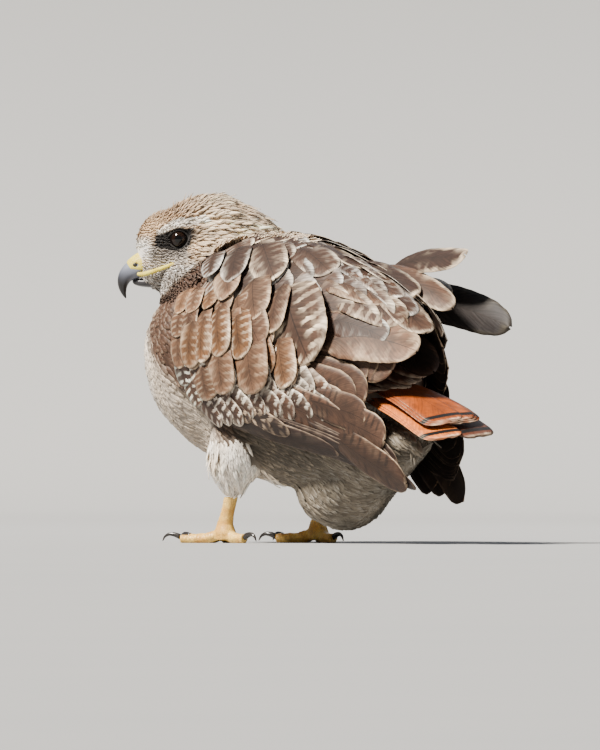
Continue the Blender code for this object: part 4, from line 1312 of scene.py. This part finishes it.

# %% [markdown]
# ## Materials
# A small helper writes the nodes, so that a material reads as a recipe. The feather's recipe
# takes the colour that each feather carries, lightens its edge, draws the bars and the shaft,
# adds the fine lines of the barbs, which lean outwards from the shaft towards the tip, and lays
# painted shade towards the root and on the lower face.

# %% Writing nodes


class Recipe:
    """A material's nodes, written step by step."""

    def __init__(self, name, roughness, **settings):
        self.material = bpy.data.materials.new(name)
        self.material.use_nodes = True
        self.tree = self.material.node_tree
        self.shader = self.tree.nodes["Principled BSDF"]
        self.shader.inputs["Roughness"].default_value = roughness
        for socket, value in settings.items():
            self.shader.inputs[socket.replace("_", " ")].default_value = value

    def node(self, kind, **settings):
        """Add a node with its settings."""
        made = self.tree.nodes.new(kind)
        for key, value in settings.items():
            setattr(made, key, value)
        return made

    def feed(self, socket, value):
        """Link a value to a socket, or set it there."""
        if isinstance(value, bpy.types.NodeSocket):
            self.tree.links.new(value, socket)
        elif isinstance(value, (float, int)):
            socket.default_value = value
        elif socket.type == "RGBA":
            socket.default_value = (*value[:3], 1.0)
        else:
            socket.default_value = value

    def math(self, kind, *values):
        """Add one step of arithmetic."""
        made = self.node("ShaderNodeMath", operation=kind)
        for socket, value in zip(made.inputs, values):
            self.feed(socket, value)
        return made.outputs[0]

    def times(self, first, second):
        """Multiply two values."""
        return self.math("MULTIPLY", first, second)

    def scaled(self, value, factor, offset):
        """Multiply a value and add an offset."""
        return self.math("MULTIPLY_ADD", value, factor, offset)

    def step(self, value, low, high):
        """Return 0 below low and 1 above high, with a soft change."""
        made = self.node("ShaderNodeMapRange", interpolation_type="SMOOTHSTEP")
        self.feed(made.inputs["Value"], value)
        self.feed(made.inputs["From Min"], low)
        self.feed(made.inputs["From Max"], high)
        return made.outputs["Result"]

    def mix(self, share, first, second, kind="MIX"):
        """Mix two colours."""
        made = self.node("ShaderNodeMix", data_type="RGBA", blend_type=kind)
        self.feed(made.inputs[0], share)
        self.feed(made.inputs[6], first)
        self.feed(made.inputs[7], second)
        return made.outputs[2]

    def noise(self, scale, detail=2.0, where=None):
        """Return a noise pattern on the object's coordinates."""
        made = self.node("ShaderNodeTexNoise")
        made.inputs["Scale"].default_value = scale
        made.inputs["Detail"].default_value = detail
        if where is None:
            where = self.node("ShaderNodeTexCoord").outputs["Object"]
        self.feed(made.inputs["Vector"], where)
        return made.outputs["Fac"]

    def attribute(self, name):
        """Return the node that reads a painted attribute."""
        return self.node("ShaderNodeAttribute", attribute_name=name)

    def finish(self, colour, height=None, strength=0.4, distance=0.0003):
        """Send colour and relief to the shader and return the material."""
        self.feed(self.shader.inputs["Base Color"], colour)
        if height is not None:
            bump = self.node("ShaderNodeBump")
            bump.inputs["Strength"].default_value = strength
            bump.inputs["Distance"].default_value = distance
            self.feed(bump.inputs["Height"], height)
            self.feed(self.shader.inputs["Normal"], bump.outputs["Normal"])
        return self.material


# %% The feather's recipe
# A near-black brown for the dark centres, shafts and mottles of the feathers, and for the painted shade
# towards their roots.
SHADE = (0.012, 0.007, 0.005)


def feather_material(name, bars, bar_colour, bar_reach, edge, tip, barbs, band=None, shaft=0.03, under=0.3,
                     wash=0.16, heart=0.5):
    """Return a feather material; bars and barbs are their numbers along the vane."""
    recipe = Recipe(name, 0.6)
    recipe.shader.inputs["Specular IOR Level"].default_value = 0.25
    split = recipe.node("ShaderNodeSeparateXYZ")
    recipe.feed(split.inputs[0], recipe.node("ShaderNodeUVMap", uv_map="vane").outputs[0])
    wide = recipe.math("ABSOLUTE", recipe.scaled(split.outputs[0], 2.0, -1.0))
    along = split.outputs[1]
    tint = recipe.attribute("tint").outputs["Color"]
    rim = recipe.attribute("rim").outputs["Color"]
    amounts = recipe.node("ShaderNodeSeparateColor")
    recipe.feed(amounts.inputs[0], recipe.attribute("marks").outputs["Color"])
    cloud = recipe.noise(150.0, 2.0)
    barb = recipe.scaled(along, float(barbs), recipe.times(wide, -0.3 * barbs))
    strand = recipe.node("ShaderNodeCombineXYZ")
    recipe.feed(strand.inputs[0], barb)
    recipe.feed(strand.inputs[1], recipe.times(split.outputs[0], 2.5))
    recipe.feed(strand.inputs[2], recipe.times(cloud, 1.5))
    streak = recipe.noise(1.0, 4.0, strand.outputs[0])
    loose = recipe.scaled(streak, 0.5, -0.25)
    worn = recipe.times(recipe.step(recipe.noise(60.0, 3.0), 0.48, 0.64), wash)
    worn = recipe.times(worn, recipe.step(wide, 0.1, 0.9))
    colour = recipe.mix(worn, tint, rim)
    colour = recipe.mix(recipe.times(recipe.step(cloud, 0.4, 0.75), 0.35), colour, SHADE)
    inner = recipe.times(recipe.step(wide, 0.9, 0.1), recipe.step(along, 1.0, 0.7))
    colour = recipe.mix(recipe.times(inner, heart), colour, SHADE)
    # Painted shade: each feather darkens towards its root, where the feathers above it lie.
    colour = recipe.mix(recipe.times(recipe.step(along, 0.5, 0.0), 0.4), colour, SHADE)
    if bars:
        wave = recipe.scaled(along, float(bars), recipe.times(wide, -0.35))
        wave = recipe.math("ADD", wave, recipe.scaled(loose, 0.9, recipe.times(cloud, 0.3)))
        wave = recipe.math("SINE", recipe.times(wave, 2.0 * math.pi))
        stripe = recipe.step(wave, 0.1, 0.75)
        stripe = recipe.times(stripe, recipe.step(wide, bar_reach, bar_reach + 0.35))
        stripe = recipe.times(stripe, recipe.step(along, 0.98, 0.9))
        spots = recipe.scaled(recipe.step(recipe.noise(55.0, 1.0), 0.4, 0.6), 0.75, 0.25)
        stripe = recipe.times(recipe.times(stripe, spots), amounts.outputs[1])
        colour = recipe.mix(stripe, colour, rim if bar_colour is None else bar_colour)
    if band is not None:
        at = recipe.scaled(loose, 0.02, along)
        dark = recipe.times(recipe.step(at, band[0] - 0.006, band[0] + 0.006),
                           recipe.step(at, band[1] + 0.006, band[1] - 0.006))
        colour = recipe.mix(dark, colour, COLOUR["black"])
    frayed_side = recipe.math("ADD", wide, recipe.times(loose, edge * 1.6))
    frayed_tip = recipe.math("ADD", along, recipe.times(loose, tip * 1.6))
    side_edge = recipe.times(recipe.step(frayed_side, 1.0 - edge, 1.0), recipe.step(along, 0.3, 0.8))
    tip_edge = recipe.step(frayed_tip, 1.0 - tip, 1.0 - tip * 0.1)
    fading = recipe.scaled(recipe.step(recipe.noise(90.0, 2.0), 0.38, 0.62), 0.7, 0.3)
    border = recipe.times(recipe.math("MAXIMUM", side_edge, tip_edge), amounts.outputs[0])
    border = recipe.times(border, fading)
    colour = recipe.mix(border, colour, rim)
    quill = recipe.times(recipe.step(wide, shaft, shaft * 0.4), amounts.outputs[2])
    colour = recipe.mix(recipe.times(quill, 0.8), colour, SHADE)
    # Painted shade on each feather's lower face, by the share under.
    below = recipe.times(recipe.attribute("below").outputs["Fac"], under)
    colour = recipe.mix(below, colour, COLOUR["black"])
    shade = recipe.scaled(recipe.step(streak, 0.3, 0.7), 0.55, 0.68)
    grey = recipe.node("ShaderNodeCombineColor")
    for socket in grey.inputs[:3]:
        recipe.feed(socket, shade)
    colour = recipe.mix(1.0, colour, grey.outputs[0], "MULTIPLY")
    return recipe.finish(colour, streak, 0.5, 0.0004)


# The setting under is how much painted shade darkens each feather's lower face; the flight feathers get most,
# for the far wing's undersides.
MATERIAL = {
    "mantle": feather_material("mantle_feather", 7, None, 0.1, 0.3, 0.08, 34, wash=0.26),
    "greater": feather_material("greater_covert", 6, None, 0.05, 0.24, 0.07, 28, shaft=0.025, under=0.25,
                                wash=0.2),
    "flight": feather_material("flight_feather", 12, COLOUR["dark"], 0.05, 0.1, 0.025, 70, under=0.6,
                               wash=0.07),
    "tail": feather_material("tail_feather", 0, None, 0.1, 0.015, 0.035, 70, band=(0.9, 0.945),
                             wash=0.02, heart=0.15),
    "small": feather_material("small_feather", 0, None, 0.1, 0.5, 0.25, 9, shaft=0.06, under=0.2, heart=0.3),
    "face": feather_material("face_feather", 0, None, 0.1, 0.8, 0.3, 5, shaft=0.5, under=0.0, heart=0.2)}


def skin_material():
    """Return the skin's material: the coat's own colours, darkened a little as painted shade in the gaps."""
    recipe = Recipe("skin", 0.8)
    colour = recipe.mix(0.12, recipe.attribute("tint").outputs["Color"], (0.02, 0.012, 0.01))
    return recipe.finish(colour, recipe.noise(700.0, 3.0), 0.4, 0.0004)


MATERIAL["skin"] = skin_material()

# %% Lay the plumage


def own(piece, material, slot, nodes=()):
    """Give a piece its material and its body, and hide the nodes that it stands for; slot is not used."""
    piece.data.materials.clear()
    piece.data.materials.append(MATERIAL[material])
    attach(piece, "root")
    if nodes:
        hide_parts(*nodes)
    return piece


own(skin, "skin", "belly_feather", SMOOTH_SOLIDS + CORED_SOLIDS)


def put_on(name, template, coat, outline, material, slot, nodes=(), cells=False, centre=None, **form):
    """Lay a coat, map it and give it its material."""
    piece = lay(name, template, coat, outline, **form)
    bake_map(piece, template, coat, centre, cells)
    own(piece, material, slot, nodes)
    print(name, len(coat["path"]), "feathers,", len(piece.data.polygons), "faces")
    return piece


HEAD_MIDDLE = head_point(-4.0, 0.0, 208.0)
put_on("head_feathers", FACE_TUFT, head_coat, "lance", "face", "head_feather", ("head", "neck"),
       centre=HEAD_MIDDLE, keel=0.3)
put_on("nape_feathers", WISP_VANE, nape_coat, "lance", "face", "head_feather", ("neck",),
       centre=HEAD_MIDDLE, thickness=0.25)
for name, coat, nodes in (("body_feathers", body_coat, ("torso",)),
                          ("thigh_feathers", thigh_coat, ("thigh_left", "thigh_right")),
                          ("vent_feathers", vent_coat, ("undertail",))):
    put_on(name, SMALL_VANE, coat, "shaggy", "small", "belly_feather", nodes, thickness=0.3)
for side, word in BODY_SIDES:
    flight, covert = wing_coats[side]
    put_on(f"flight_feathers_{word}", LARGE_VANE, flight, "blade", "flight", "brown_feather",
           (f"wing_{word}",), cells=True, thickness=0.5, ridge=0.3)
    put_on(f"wing_coverts_{word}", MIDDLE_VANE, covert, "broad", "greater", "brown_feather",
           (f"wing_{word}",), cells=True, thickness=0.4, ragged=0.02)
put_on("mantle_feathers", LARGE_VANE, mantle_coat, "broad", "mantle", "brown_feather", ("mantle",),
       cells=True, thickness=0.45, ridge=0.2, ragged=0.02)
put_on("near_feathers", LARGE_VANE, seen_coat, "broad", "mantle", "brown_feather", ("mantle", "wing_left"),
       cells=True, thickness=0.45, ridge=0.2, ragged=0.02)
put_on("tail_feathers", LARGE_VANE, tail_coat, "square", "tail", "rufous_feather", ("tail",),
       cells=True, thickness=0.5, ridge=0.3)
put_on("tail_coverts", MIDDLE_VANE, tail_coverts, "round", "small", "rufous_feather", ("tail",),
       cells=True, thickness=0.45)

# %% [markdown]
# ## The eye
# A hawk's eye is large and bulges a little at the cornea. An adult's iris is dark brown, so from
# a few steps away the eye is a black bead with one highlight, but the pupil, the iris and the
# grey lids around it are there. The iris pattern is drawn by distance from the eye's axis.

# %% Eyes and lids
EYE_RADIUS = 8.2
EYE_TURN = 0.06
CORNEA_RADIUS = 6.4
CORNEA_RISE = 0.7
LID_STEPS = 40
LID_SIDES = 10


def eye_material():
    """Return the glossy eye: a black pupil in a dark brown iris."""
    recipe = Recipe("eye", 0.04)
    recipe.shader.inputs["Specular IOR Level"].default_value = 0.35
    disc = recipe.node("ShaderNodeUVMap", uv_map="iris").outputs[0]
    split = recipe.node("ShaderNodeSeparateXYZ")
    recipe.feed(split.inputs[0], disc)
    fibres = recipe.noise(900.0, 4.0)
    radius = recipe.math("ADD", split.outputs[0], recipe.times(fibres, 0.04))
    iris = recipe.mix(recipe.step(fibres, 0.3, 0.7), srgb(14, 8, 5), srgb(30, 17, 10))
    colour = recipe.mix(recipe.step(radius, 0.42, 0.46), (0.002, 0.002, 0.002), iris)
    colour = recipe.mix(recipe.step(radius, 0.78, 0.88), colour, (0.004, 0.003, 0.003))
    return recipe.finish(colour)


MATERIAL["eye"] = eye_material()


def eye_axis(side):
    """Return the direction in which an eye looks: sideways, and a little forward."""
    return (HEAD_LEFT * side + HEAD_FORWARD * EYE_TURN).normalized()


def make_eye(word, side):
    """Return an eyeball with its axis sideways and a low bulge for the cornea."""
    builder = bmesh.new()
    bmesh.ops.create_uvsphere(builder, u_segments=48, v_segments=32, radius=EYE_RADIUS)
    layer = builder.loops.layers.uv.new("iris")
    for face in builder.faces:
        for loop in face.loops:
            flat = math.hypot(loop.vert.co.x, loop.vert.co.y) / CORNEA_RADIUS
            loop[layer].uv = (flat if loop.vert.co.z > 0 else 1.0, 0.5)
    for vert in builder.verts:
        flat = math.hypot(vert.co.x, vert.co.y) / CORNEA_RADIUS
        if vert.co.z > 0 and flat < 1.0:
            vert.co.z += CORNEA_RISE * (1.0 - flat ** 2)
    turn = eye_axis(side).to_track_quat("Z", "Y").to_matrix().to_4x4()
    turn.translation = EYES[side]
    bmesh.ops.transform(builder, matrix=turn, verts=builder.verts)
    return own(smooth(from_bmesh(f"eyeball_{word}", builder)), "eye", "eye", (f"eye_{word}",))


def dark_skin_material():
    """Return the bare grey skin of the lids."""
    recipe = Recipe("lid", 0.45)
    grain = recipe.noise(1500.0, 3.0)
    return recipe.finish(recipe.mix(grain, srgb(18, 16, 15), srgb(46, 42, 38)), grain, 0.4, 0.0002)


MATERIAL["lid"] = dark_skin_material()


def make_lids(word, side):
    """Return the ring of the two lids, thicker above, pulled to a point in front."""
    axis = eye_axis(side)
    right = axis.cross(UP).normalized() * side
    rings = []
    for s in range(LID_STEPS):
        turn = 2.0 * math.pi * s / LID_STEPS
        front = max(0.0, math.cos(turn)) ** 6
        spoke = right * math.cos(turn) * (7.0 + 1.5 * front) + UP * math.sin(turn) * 6.5
        centre = EYES[side] + axis * (4.6 - 0.7 * front) + spoke
        thick = 0.95 + 0.35 * max(0.0, math.sin(turn))
        out = spoke.normalized()
        bends = [2.0 * math.pi * q / LID_SIDES for q in range(LID_SIDES)]
        rings.append([centre + out * thick * math.cos(b) + axis * thick * 1.1 * math.sin(b) for b in bends])
    return own(smooth(lofted(f"lids_{word}", rings, joined=True)), "lid", "head_feather")


for side, word in HEAD_SIDES:
    make_eye(word, side)
    make_lids(word, side)

# %% [markdown]
# ## The bill
# The upper bill is a hook, blue-grey at the base and nearly black at the tip. The lower bill is the
# same horn, darker, as painted shade under the upper one. A soft yellow skin, the cere, wraps its
# root and holds the nostrils, and runs back as a yellow edge to the corner of the mouth under the
# eye. Each is a loft through a few rings, rounded by a subdivision. The nostrils are hollows in the
# cere with a dark bead in each, as painted shade deep in the hollow.

# %% Bill and cere
BILL_SIDES = 16
FULLER_SIDES = -0.15


def bill_rings(profile):
    """Return rings from centre, top and under points, given as forward and height, and half widths."""
    rings = []
    for centre, top, under, half in profile:
        ring = []
        for s in range(BILL_SIDES):
            turn = 2.0 * math.pi * s / BILL_SIDES
            level, share = math.cos(turn), abs(math.sin(turn))
            edge = top if math.sin(turn) > 0 else under
            forward, z = (c + (e - c) * share for c, e in zip(centre, edge))
            side = half * level * abs(level) ** FULLER_SIDES if abs(level) > 0.01 else 0.0
            ring.append(head_point(forward, side, z))
        rings.append(ring)
    return rings


UPPER = (
    ((31.0, 198.5), (31.0, 209.5), (31.0, 190.5), 10.0), ((35.0, 198.0), (36.5, 207.5), (34.5, 189.8), 9.2),
    ((39.0, 196.5), (40.8, 203.8), (38.0, 188.5), 8.0), ((43.5, 193.5), (46.7, 199.2), (41.0, 187.6), 6.5),
    ((46.6, 189.5), (51.1, 192.2), (42.6, 186.2), 5.1), ((47.6, 184.0), (51.3, 184.7), (44.2, 183.2), 3.5),
    ((46.8, 178.5), (48.9, 179.2), (44.9, 178.2), 1.9), ((44.9, 174.9), (45.6, 175.0), (44.3, 174.7), 0.5))
LOWER = (
    ((22.0, 186.0), (22.0, 190.0), (22.0, 182.6), 7.6), ((30.0, 186.2), (30.0, 190.0), (30.0, 182.8), 6.6),
    ((36.0, 186.6), (36.0, 189.6), (35.6, 183.6), 4.8), ((40.4, 186.8), (41.0, 188.6), (40.0, 185.2), 2.4))
CERE = (
    ((29.5, 199.5), (29.5, 210.0), (29.5, 191.5), 10.4), ((33.0, 199.0), (34.4, 209.3), (33.0, 191.0), 10.0),
    ((37.0, 198.0), (39.2, 206.6), (36.8, 191.5), 9.1), ((40.4, 197.4), (42.4, 203.8), (39.6, 193.2), 7.9),
    ((43.2, 196.4), (45.6, 200.9), (41.8, 193.4), 6.9))


def horn_material(name, light, dark):
    """Return horn that is lighter at the root of the bill and near black at its tip."""
    recipe = Recipe(name, 0.3)
    where = recipe.node("ShaderNodeTexCoord").outputs["Object"]
    turned = recipe.node("ShaderNodeVectorMath", operation="DOT_PRODUCT")
    recipe.feed(turned.inputs[0], where)
    towards_tip = HEAD_FORWARD * 0.6 - UP * 0.8
    turned.inputs[1].default_value = towards_tip
    start, tip = head_point(39.0, 0.0, 198.0), head_point(46.0, 0.0, 182.0)
    ends = [((place + ORIGIN) * MM).dot(towards_tip) for place in (start, tip)]
    share = recipe.step(turned.outputs["Value"], *ends)
    grain = recipe.noise(500.0, 4.0)
    colour = recipe.mix(share, light, dark)
    colour = recipe.mix(recipe.times(grain, 0.12), colour, srgb(88, 84, 84))
    return recipe.finish(colour, grain, 0.12, 0.0002)


def yellow_material(name, light, deep, scales):
    """Return yellow skin, waxy on the face and scaled on the legs."""
    recipe = Recipe(name, 0.42)
    cell = recipe.node("ShaderNodeTexVoronoi", feature="DISTANCE_TO_EDGE")
    cell.inputs["Scale"].default_value = scales
    recipe.feed(cell.inputs["Vector"], recipe.node("ShaderNodeTexCoord").outputs["Object"])
    seam = recipe.step(cell.outputs["Distance"], 0.0, 0.12)
    cloud = recipe.noise(120.0, 3.0)
    colour = recipe.mix(recipe.step(cloud, 0.3, 0.7), light, deep)
    colour = recipe.mix(recipe.scaled(seam, -0.5, 0.5), colour, deep * 0.35)
    return recipe.finish(colour, seam, 0.5, 0.0003)


MATERIAL["horn"] = horn_material("bill_horn", srgb(122, 127, 142), srgb(14, 13, 14))
# The lower bill is the same horn, darker, as painted shade under the upper bill.
MATERIAL["shaded_horn"] = horn_material("lower_bill_shaded_horn", srgb(58, 56, 60), srgb(26, 24, 26))
MATERIAL["cere"] = yellow_material("cere", srgb(238, 224, 96), srgb(214, 188, 60), 1400.0)
MATERIAL["leg"] = yellow_material("leg_scale", srgb(236, 196, 104), srgb(206, 152, 66), 620.0)


NOSTRIL_FORWARD = 38.0
NOSTRIL_Z = 199.0


def ball(name, middle, *half_axes):
    """Return a ball about a middle, pulled out to three half axes."""
    builder = bmesh.new()
    bmesh.ops.create_uvsphere(builder, u_segments=16, v_segments=12, radius=1.0)
    shape = Matrix(half_axes).transposed().to_4x4()
    shape.translation = middle
    bmesh.ops.transform(builder, matrix=shape, verts=builder.verts)
    return from_bmesh(name, builder)


def make_bill():
    """Make the upper and lower bill, and the cere with its nostrils and a dark bead in each as painted shade.
    """
    own(smooth(lofted("bill_upper", bill_rings(UPPER)), 2), "horn", "bill_horn", ("beak_upper",))
    own(smooth(lofted("bill_lower", bill_rings(LOWER)), 2), "shaded_horn", "bill_horn", ("beak_lower",))
    cere = smooth(lofted("cere", bill_rings(CERE)), 2)
    for side in (-1, 1):
        middle = head_point(NOSTRIL_FORWARD, side * 8.9, NOSTRIL_Z)
        cutter = ball("nostril_room", middle, Vector((2.2, 0.0, 0.0)), Vector((0.0, 2.2, 0.0)), UP * 1.6)
        step = cere.modifiers.new("nostril", "BOOLEAN")
        step.object = cutter
        step.operation = "DIFFERENCE"
        evaluated(cere)
        bpy.data.objects.remove(cutter)
    own(smooth(cere), "cere", "bill_horn", ("beak_upper",))
    # A dark bead deep in each nostril's hollow is painted shade.
    for side, word in HEAD_SIDES:
        middle = head_point(NOSTRIL_FORWARD, side * 8.0, NOSTRIL_Z)
        bead = ball(f"nostril_{word}", middle, HEAD_FORWARD * 2.0, HEAD_LEFT * 0.6, UP * 1.5)
        own(smooth(bead), "lid", "bill_horn")


def tube_rings(line, radii, out, flat, sides=10):
    """Return rings round a line of points, flatter towards the direction out."""
    rings = []
    turns = [2.0 * math.pi * number / sides for number in range(sides)]
    for k, (place, radius) in enumerate(zip(line, radii)):
        way = (line[min(k + 1, len(line) - 1)] - line[max(k - 1, 0)]).normalized()
        first = way.cross(out).normalized()
        second = first.cross(way)
        rings.append([place + (first * math.cos(t) + second * math.sin(t) * flat) * radius for t in turns])
    return rings


# The line of the mouth from the cere back to under the eye: forward, side and height, then radii.
GAPE = ((37.0, 9.2, 192.6), (33.0, 12.0, 192.0), (28.5, 15.6, 193.2), (22.0, 19.4, 195.4),
        (15.0, 22.6, 198.0), (8.0, 25.0, 200.6), (2.6, 26.0, 202.4))
GAPE_RADII = (1.5, 1.9, 1.8, 1.5, 1.5, 1.2, 0.6)


def make_gape(word, side):
    """Make the yellow edge of the mouth from the cere back to under the eye."""
    line = [head_point(forward, side * aside, z) for forward, aside, z in GAPE]
    rings = tube_rings(line, GAPE_RADII, HEAD_LEFT * side, 0.8)
    own(smooth(lofted(f"gape_{word}", rings), 2), "cere", "bill_horn")


make_bill()
for side, word in HEAD_SIDES:
    make_gape(word, side)

# %% [markdown]
# ## Legs, feet and claws
# The solid feet have the right size and place but flat facets. A fine remesh and some smoothing
# round them, and rows of scutes are pressed out of the upper sides of the toes and the front of
# the leg, as on the real foot. The claws are rounded copies of the solid ones.

# %% Scaled feet
FOOT_VOXEL = 0.00075
FOOT_SMOOTHING = 4
HUB_Z = 7.0
TOE_SCUTE = 2.6
LEG_SCUTE = 3.0
SCUTE_RISE = 0.35


def scutes(along, length):
    """Return 1 on scutes of a length and 0 in the narrow seams between them."""
    return 1.0 - np.abs(np.sin(along * math.pi / length)) ** 6


def make_foot(word, side):
    """Return a foot with its leg, melted together, with scutes raised on them."""
    nodes = (f"foot_{word}", f"tarsus_{word}")
    copies = [copy_of(node) for node in nodes]
    piece, builder = melted(copies, f"leg_and_foot_{word}", FOOT_VOXEL, FOOT_SMOOTHING)
    builder.to_mesh(piece.data)
    builder.free()
    low, high = (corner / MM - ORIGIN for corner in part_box(f"tarsus_{word}"))
    hub = Vector(((low.x + high.x) / 2.0, side * FOOT_Y, HUB_Z))
    places = points_of(piece)
    normals = numbers(piece.data.vertices, "normal", 3)
    z = places[:, 2]
    flat = np.hypot(places[:, 0] - hub.x, places[:, 1] - hub.y)
    share_toe = ease(flat, 6.0, 10.0) * ease(normals[:, 2], 0.0, 0.5)
    share_leg = ease(z, 12.0, 15.0) * (1.0 - ease(z, 30.0, 33.0)) * ease(-normals[:, 0], -0.2, 0.4)
    push = SCUTE_RISE * (share_toe * scutes(flat, TOE_SCUTE) + share_leg * scutes(z, LEG_SCUTE))
    set_points(piece, places + normals * push[:, None])
    return own(smooth(piece), "leg", "leg_scale", nodes)


def claw_material():
    """Return the black horn of the claws."""
    recipe = Recipe("claw", 0.25)
    grain = recipe.noise(400.0, 3.0)
    return recipe.finish(recipe.mix(grain, (0.006, 0.005, 0.005), (0.03, 0.026, 0.024)), grain, 0.1, 0.0002)


MATERIAL["claw"] = claw_material()
for side, word in BODY_SIDES:
    make_foot(word, side)
    for number in range(1, 5):
        node = f"claw_{word}_{number}"
        claw = copy_of(node)
        claw.name = f"talon_{word}_{number}"
        own(smooth(claw, 2), "claw", "claw", (node,))
print("feet and claws done")

# %% [markdown]
# ## Floor, light and camera
# The bird stands on a plain pale floor that bends up into a low wall far behind it. A warm sun
# lamp with soft edges shines from the upper left behind the camera, and two pale area lamps fill
# the shadows. The camera is far away with a long lens, low over the floor, and looks at the
# bird's left side from behind.

# %% Floor
FLOOR_FRONT = 13.5
FLOOR_BACK = 4.2
FLOOR_HALF_RUN = 9.4
FLOOR_HALF_WIDTH = 4.0
BEND = 0.8


def make_floor():
    """Make the floor, bent up into a low wall far behind the bird."""
    builder = bmesh.new()
    bmesh.ops.create_grid(builder, x_segments=2, y_segments=240, size=1.0)
    for vert in builder.verts:
        run = (vert.co.y + 1.0) * FLOOR_HALF_RUN - FLOOR_FRONT
        turn = min(max(0.0, run - FLOOR_BACK) / BEND, math.pi / 2.0)
        back = min(run, FLOOR_BACK) + BEND * math.sin(turn)
        vert.co = ASIDE * vert.co.x * FLOOR_HALF_WIDTH - TOWARDS * back + UP * BEND * (1.0 - math.cos(turn))
    bmesh.ops.remove_doubles(builder, verts=builder.verts, dist=1e-5)
    bmesh.ops.recalc_face_normals(builder, faces=builder.faces)
    floor = smooth(from_bmesh("floor", builder, scale=1.0))
    recipe = Recipe("floor", 0.9)
    cloud = recipe.noise(3.0, 2.0)
    floor.data.materials.append(recipe.finish(recipe.mix(cloud, (0.28, 0.284, 0.288), (0.3, 0.3, 0.3))))


make_floor()

# %% Lights


def add_lamp(name, kind, direction, power, colour, **settings):
    """Add a lamp that shines on the bird from a direction, and return the object that holds it."""
    lamp = bpy.data.lights.new(name, kind)
    lamp.energy = power
    lamp.color = colour
    for key, value in settings.items():
        setattr(lamp, key, value)
    holder = bpy.data.objects.new(name, lamp)
    bpy.context.scene.collection.objects.link(holder)
    holder.rotation_euler = direction.to_track_quat("Z", "Y").to_euler()
    return holder


def add_soft_lamp(name, direction, distance, size, power, colour):
    """Add a square area lamp at a distance from the middle of the bird."""
    holder = add_lamp(name, "AREA", direction.normalized(), power, colour, size=size)
    holder.location = direction.normalized() * distance + UP * LOOK_HEIGHT * MM


LOOK_HEIGHT = 120.0
SKY = (0.8, 0.88, 1.0, 1.0)
SKY_STRENGTH = 0.2
SUN_POWER = 15.0
add_lamp("sun", "SUN", TOWARDS * 0.6 - ASIDE * 0.85 + UP * 1.3, SUN_POWER, (1.0, 0.94, 0.85), angle=0.2)
add_soft_lamp("fill", TOWARDS * 0.9 + ASIDE * 1.0 + UP * 0.3, 2.6, 1.6, 3.0, (0.86, 0.92, 1.0))
add_soft_lamp("back", UP * 0.8 - TOWARDS + ASIDE * 0.2, 2.4, 1.2, 10.0, (0.92, 0.95, 1.0))
world = bpy.data.worlds.new("studio")
bpy.context.scene.world = world
world.use_nodes = True
world.node_tree.nodes["Background"].inputs["Color"].default_value = SKY
world.node_tree.nodes["Background"].inputs["Strength"].default_value = SKY_STRENGTH

# %% Camera
FRAME_WIDTH = 0.4290
DISTANCE = 15.0
LOOK_ASIDE = 20.0
CAMERA_HEIGHT = 0.1
SENSOR = 36.0
camera_data = bpy.data.cameras.new("camera")
camera_data.sensor_fit = "HORIZONTAL"
camera_data.sensor_width = SENSOR
camera_data.lens = SENSOR * DISTANCE / FRAME_WIDTH
camera_data.clip_end = 50.0
camera = bpy.data.objects.new("camera", camera_data)
bpy.context.scene.collection.objects.link(camera)
aim = (ASIDE * LOOK_ASIDE + UP * LOOK_HEIGHT + ORIGIN) * MM
camera.location = aim + TOWARDS * DISTANCE
camera.location.z = CAMERA_HEIGHT
camera.rotation_euler = (camera.location - aim).to_track_quat("Z", "Y").to_euler()
bpy.context.scene.camera = camera
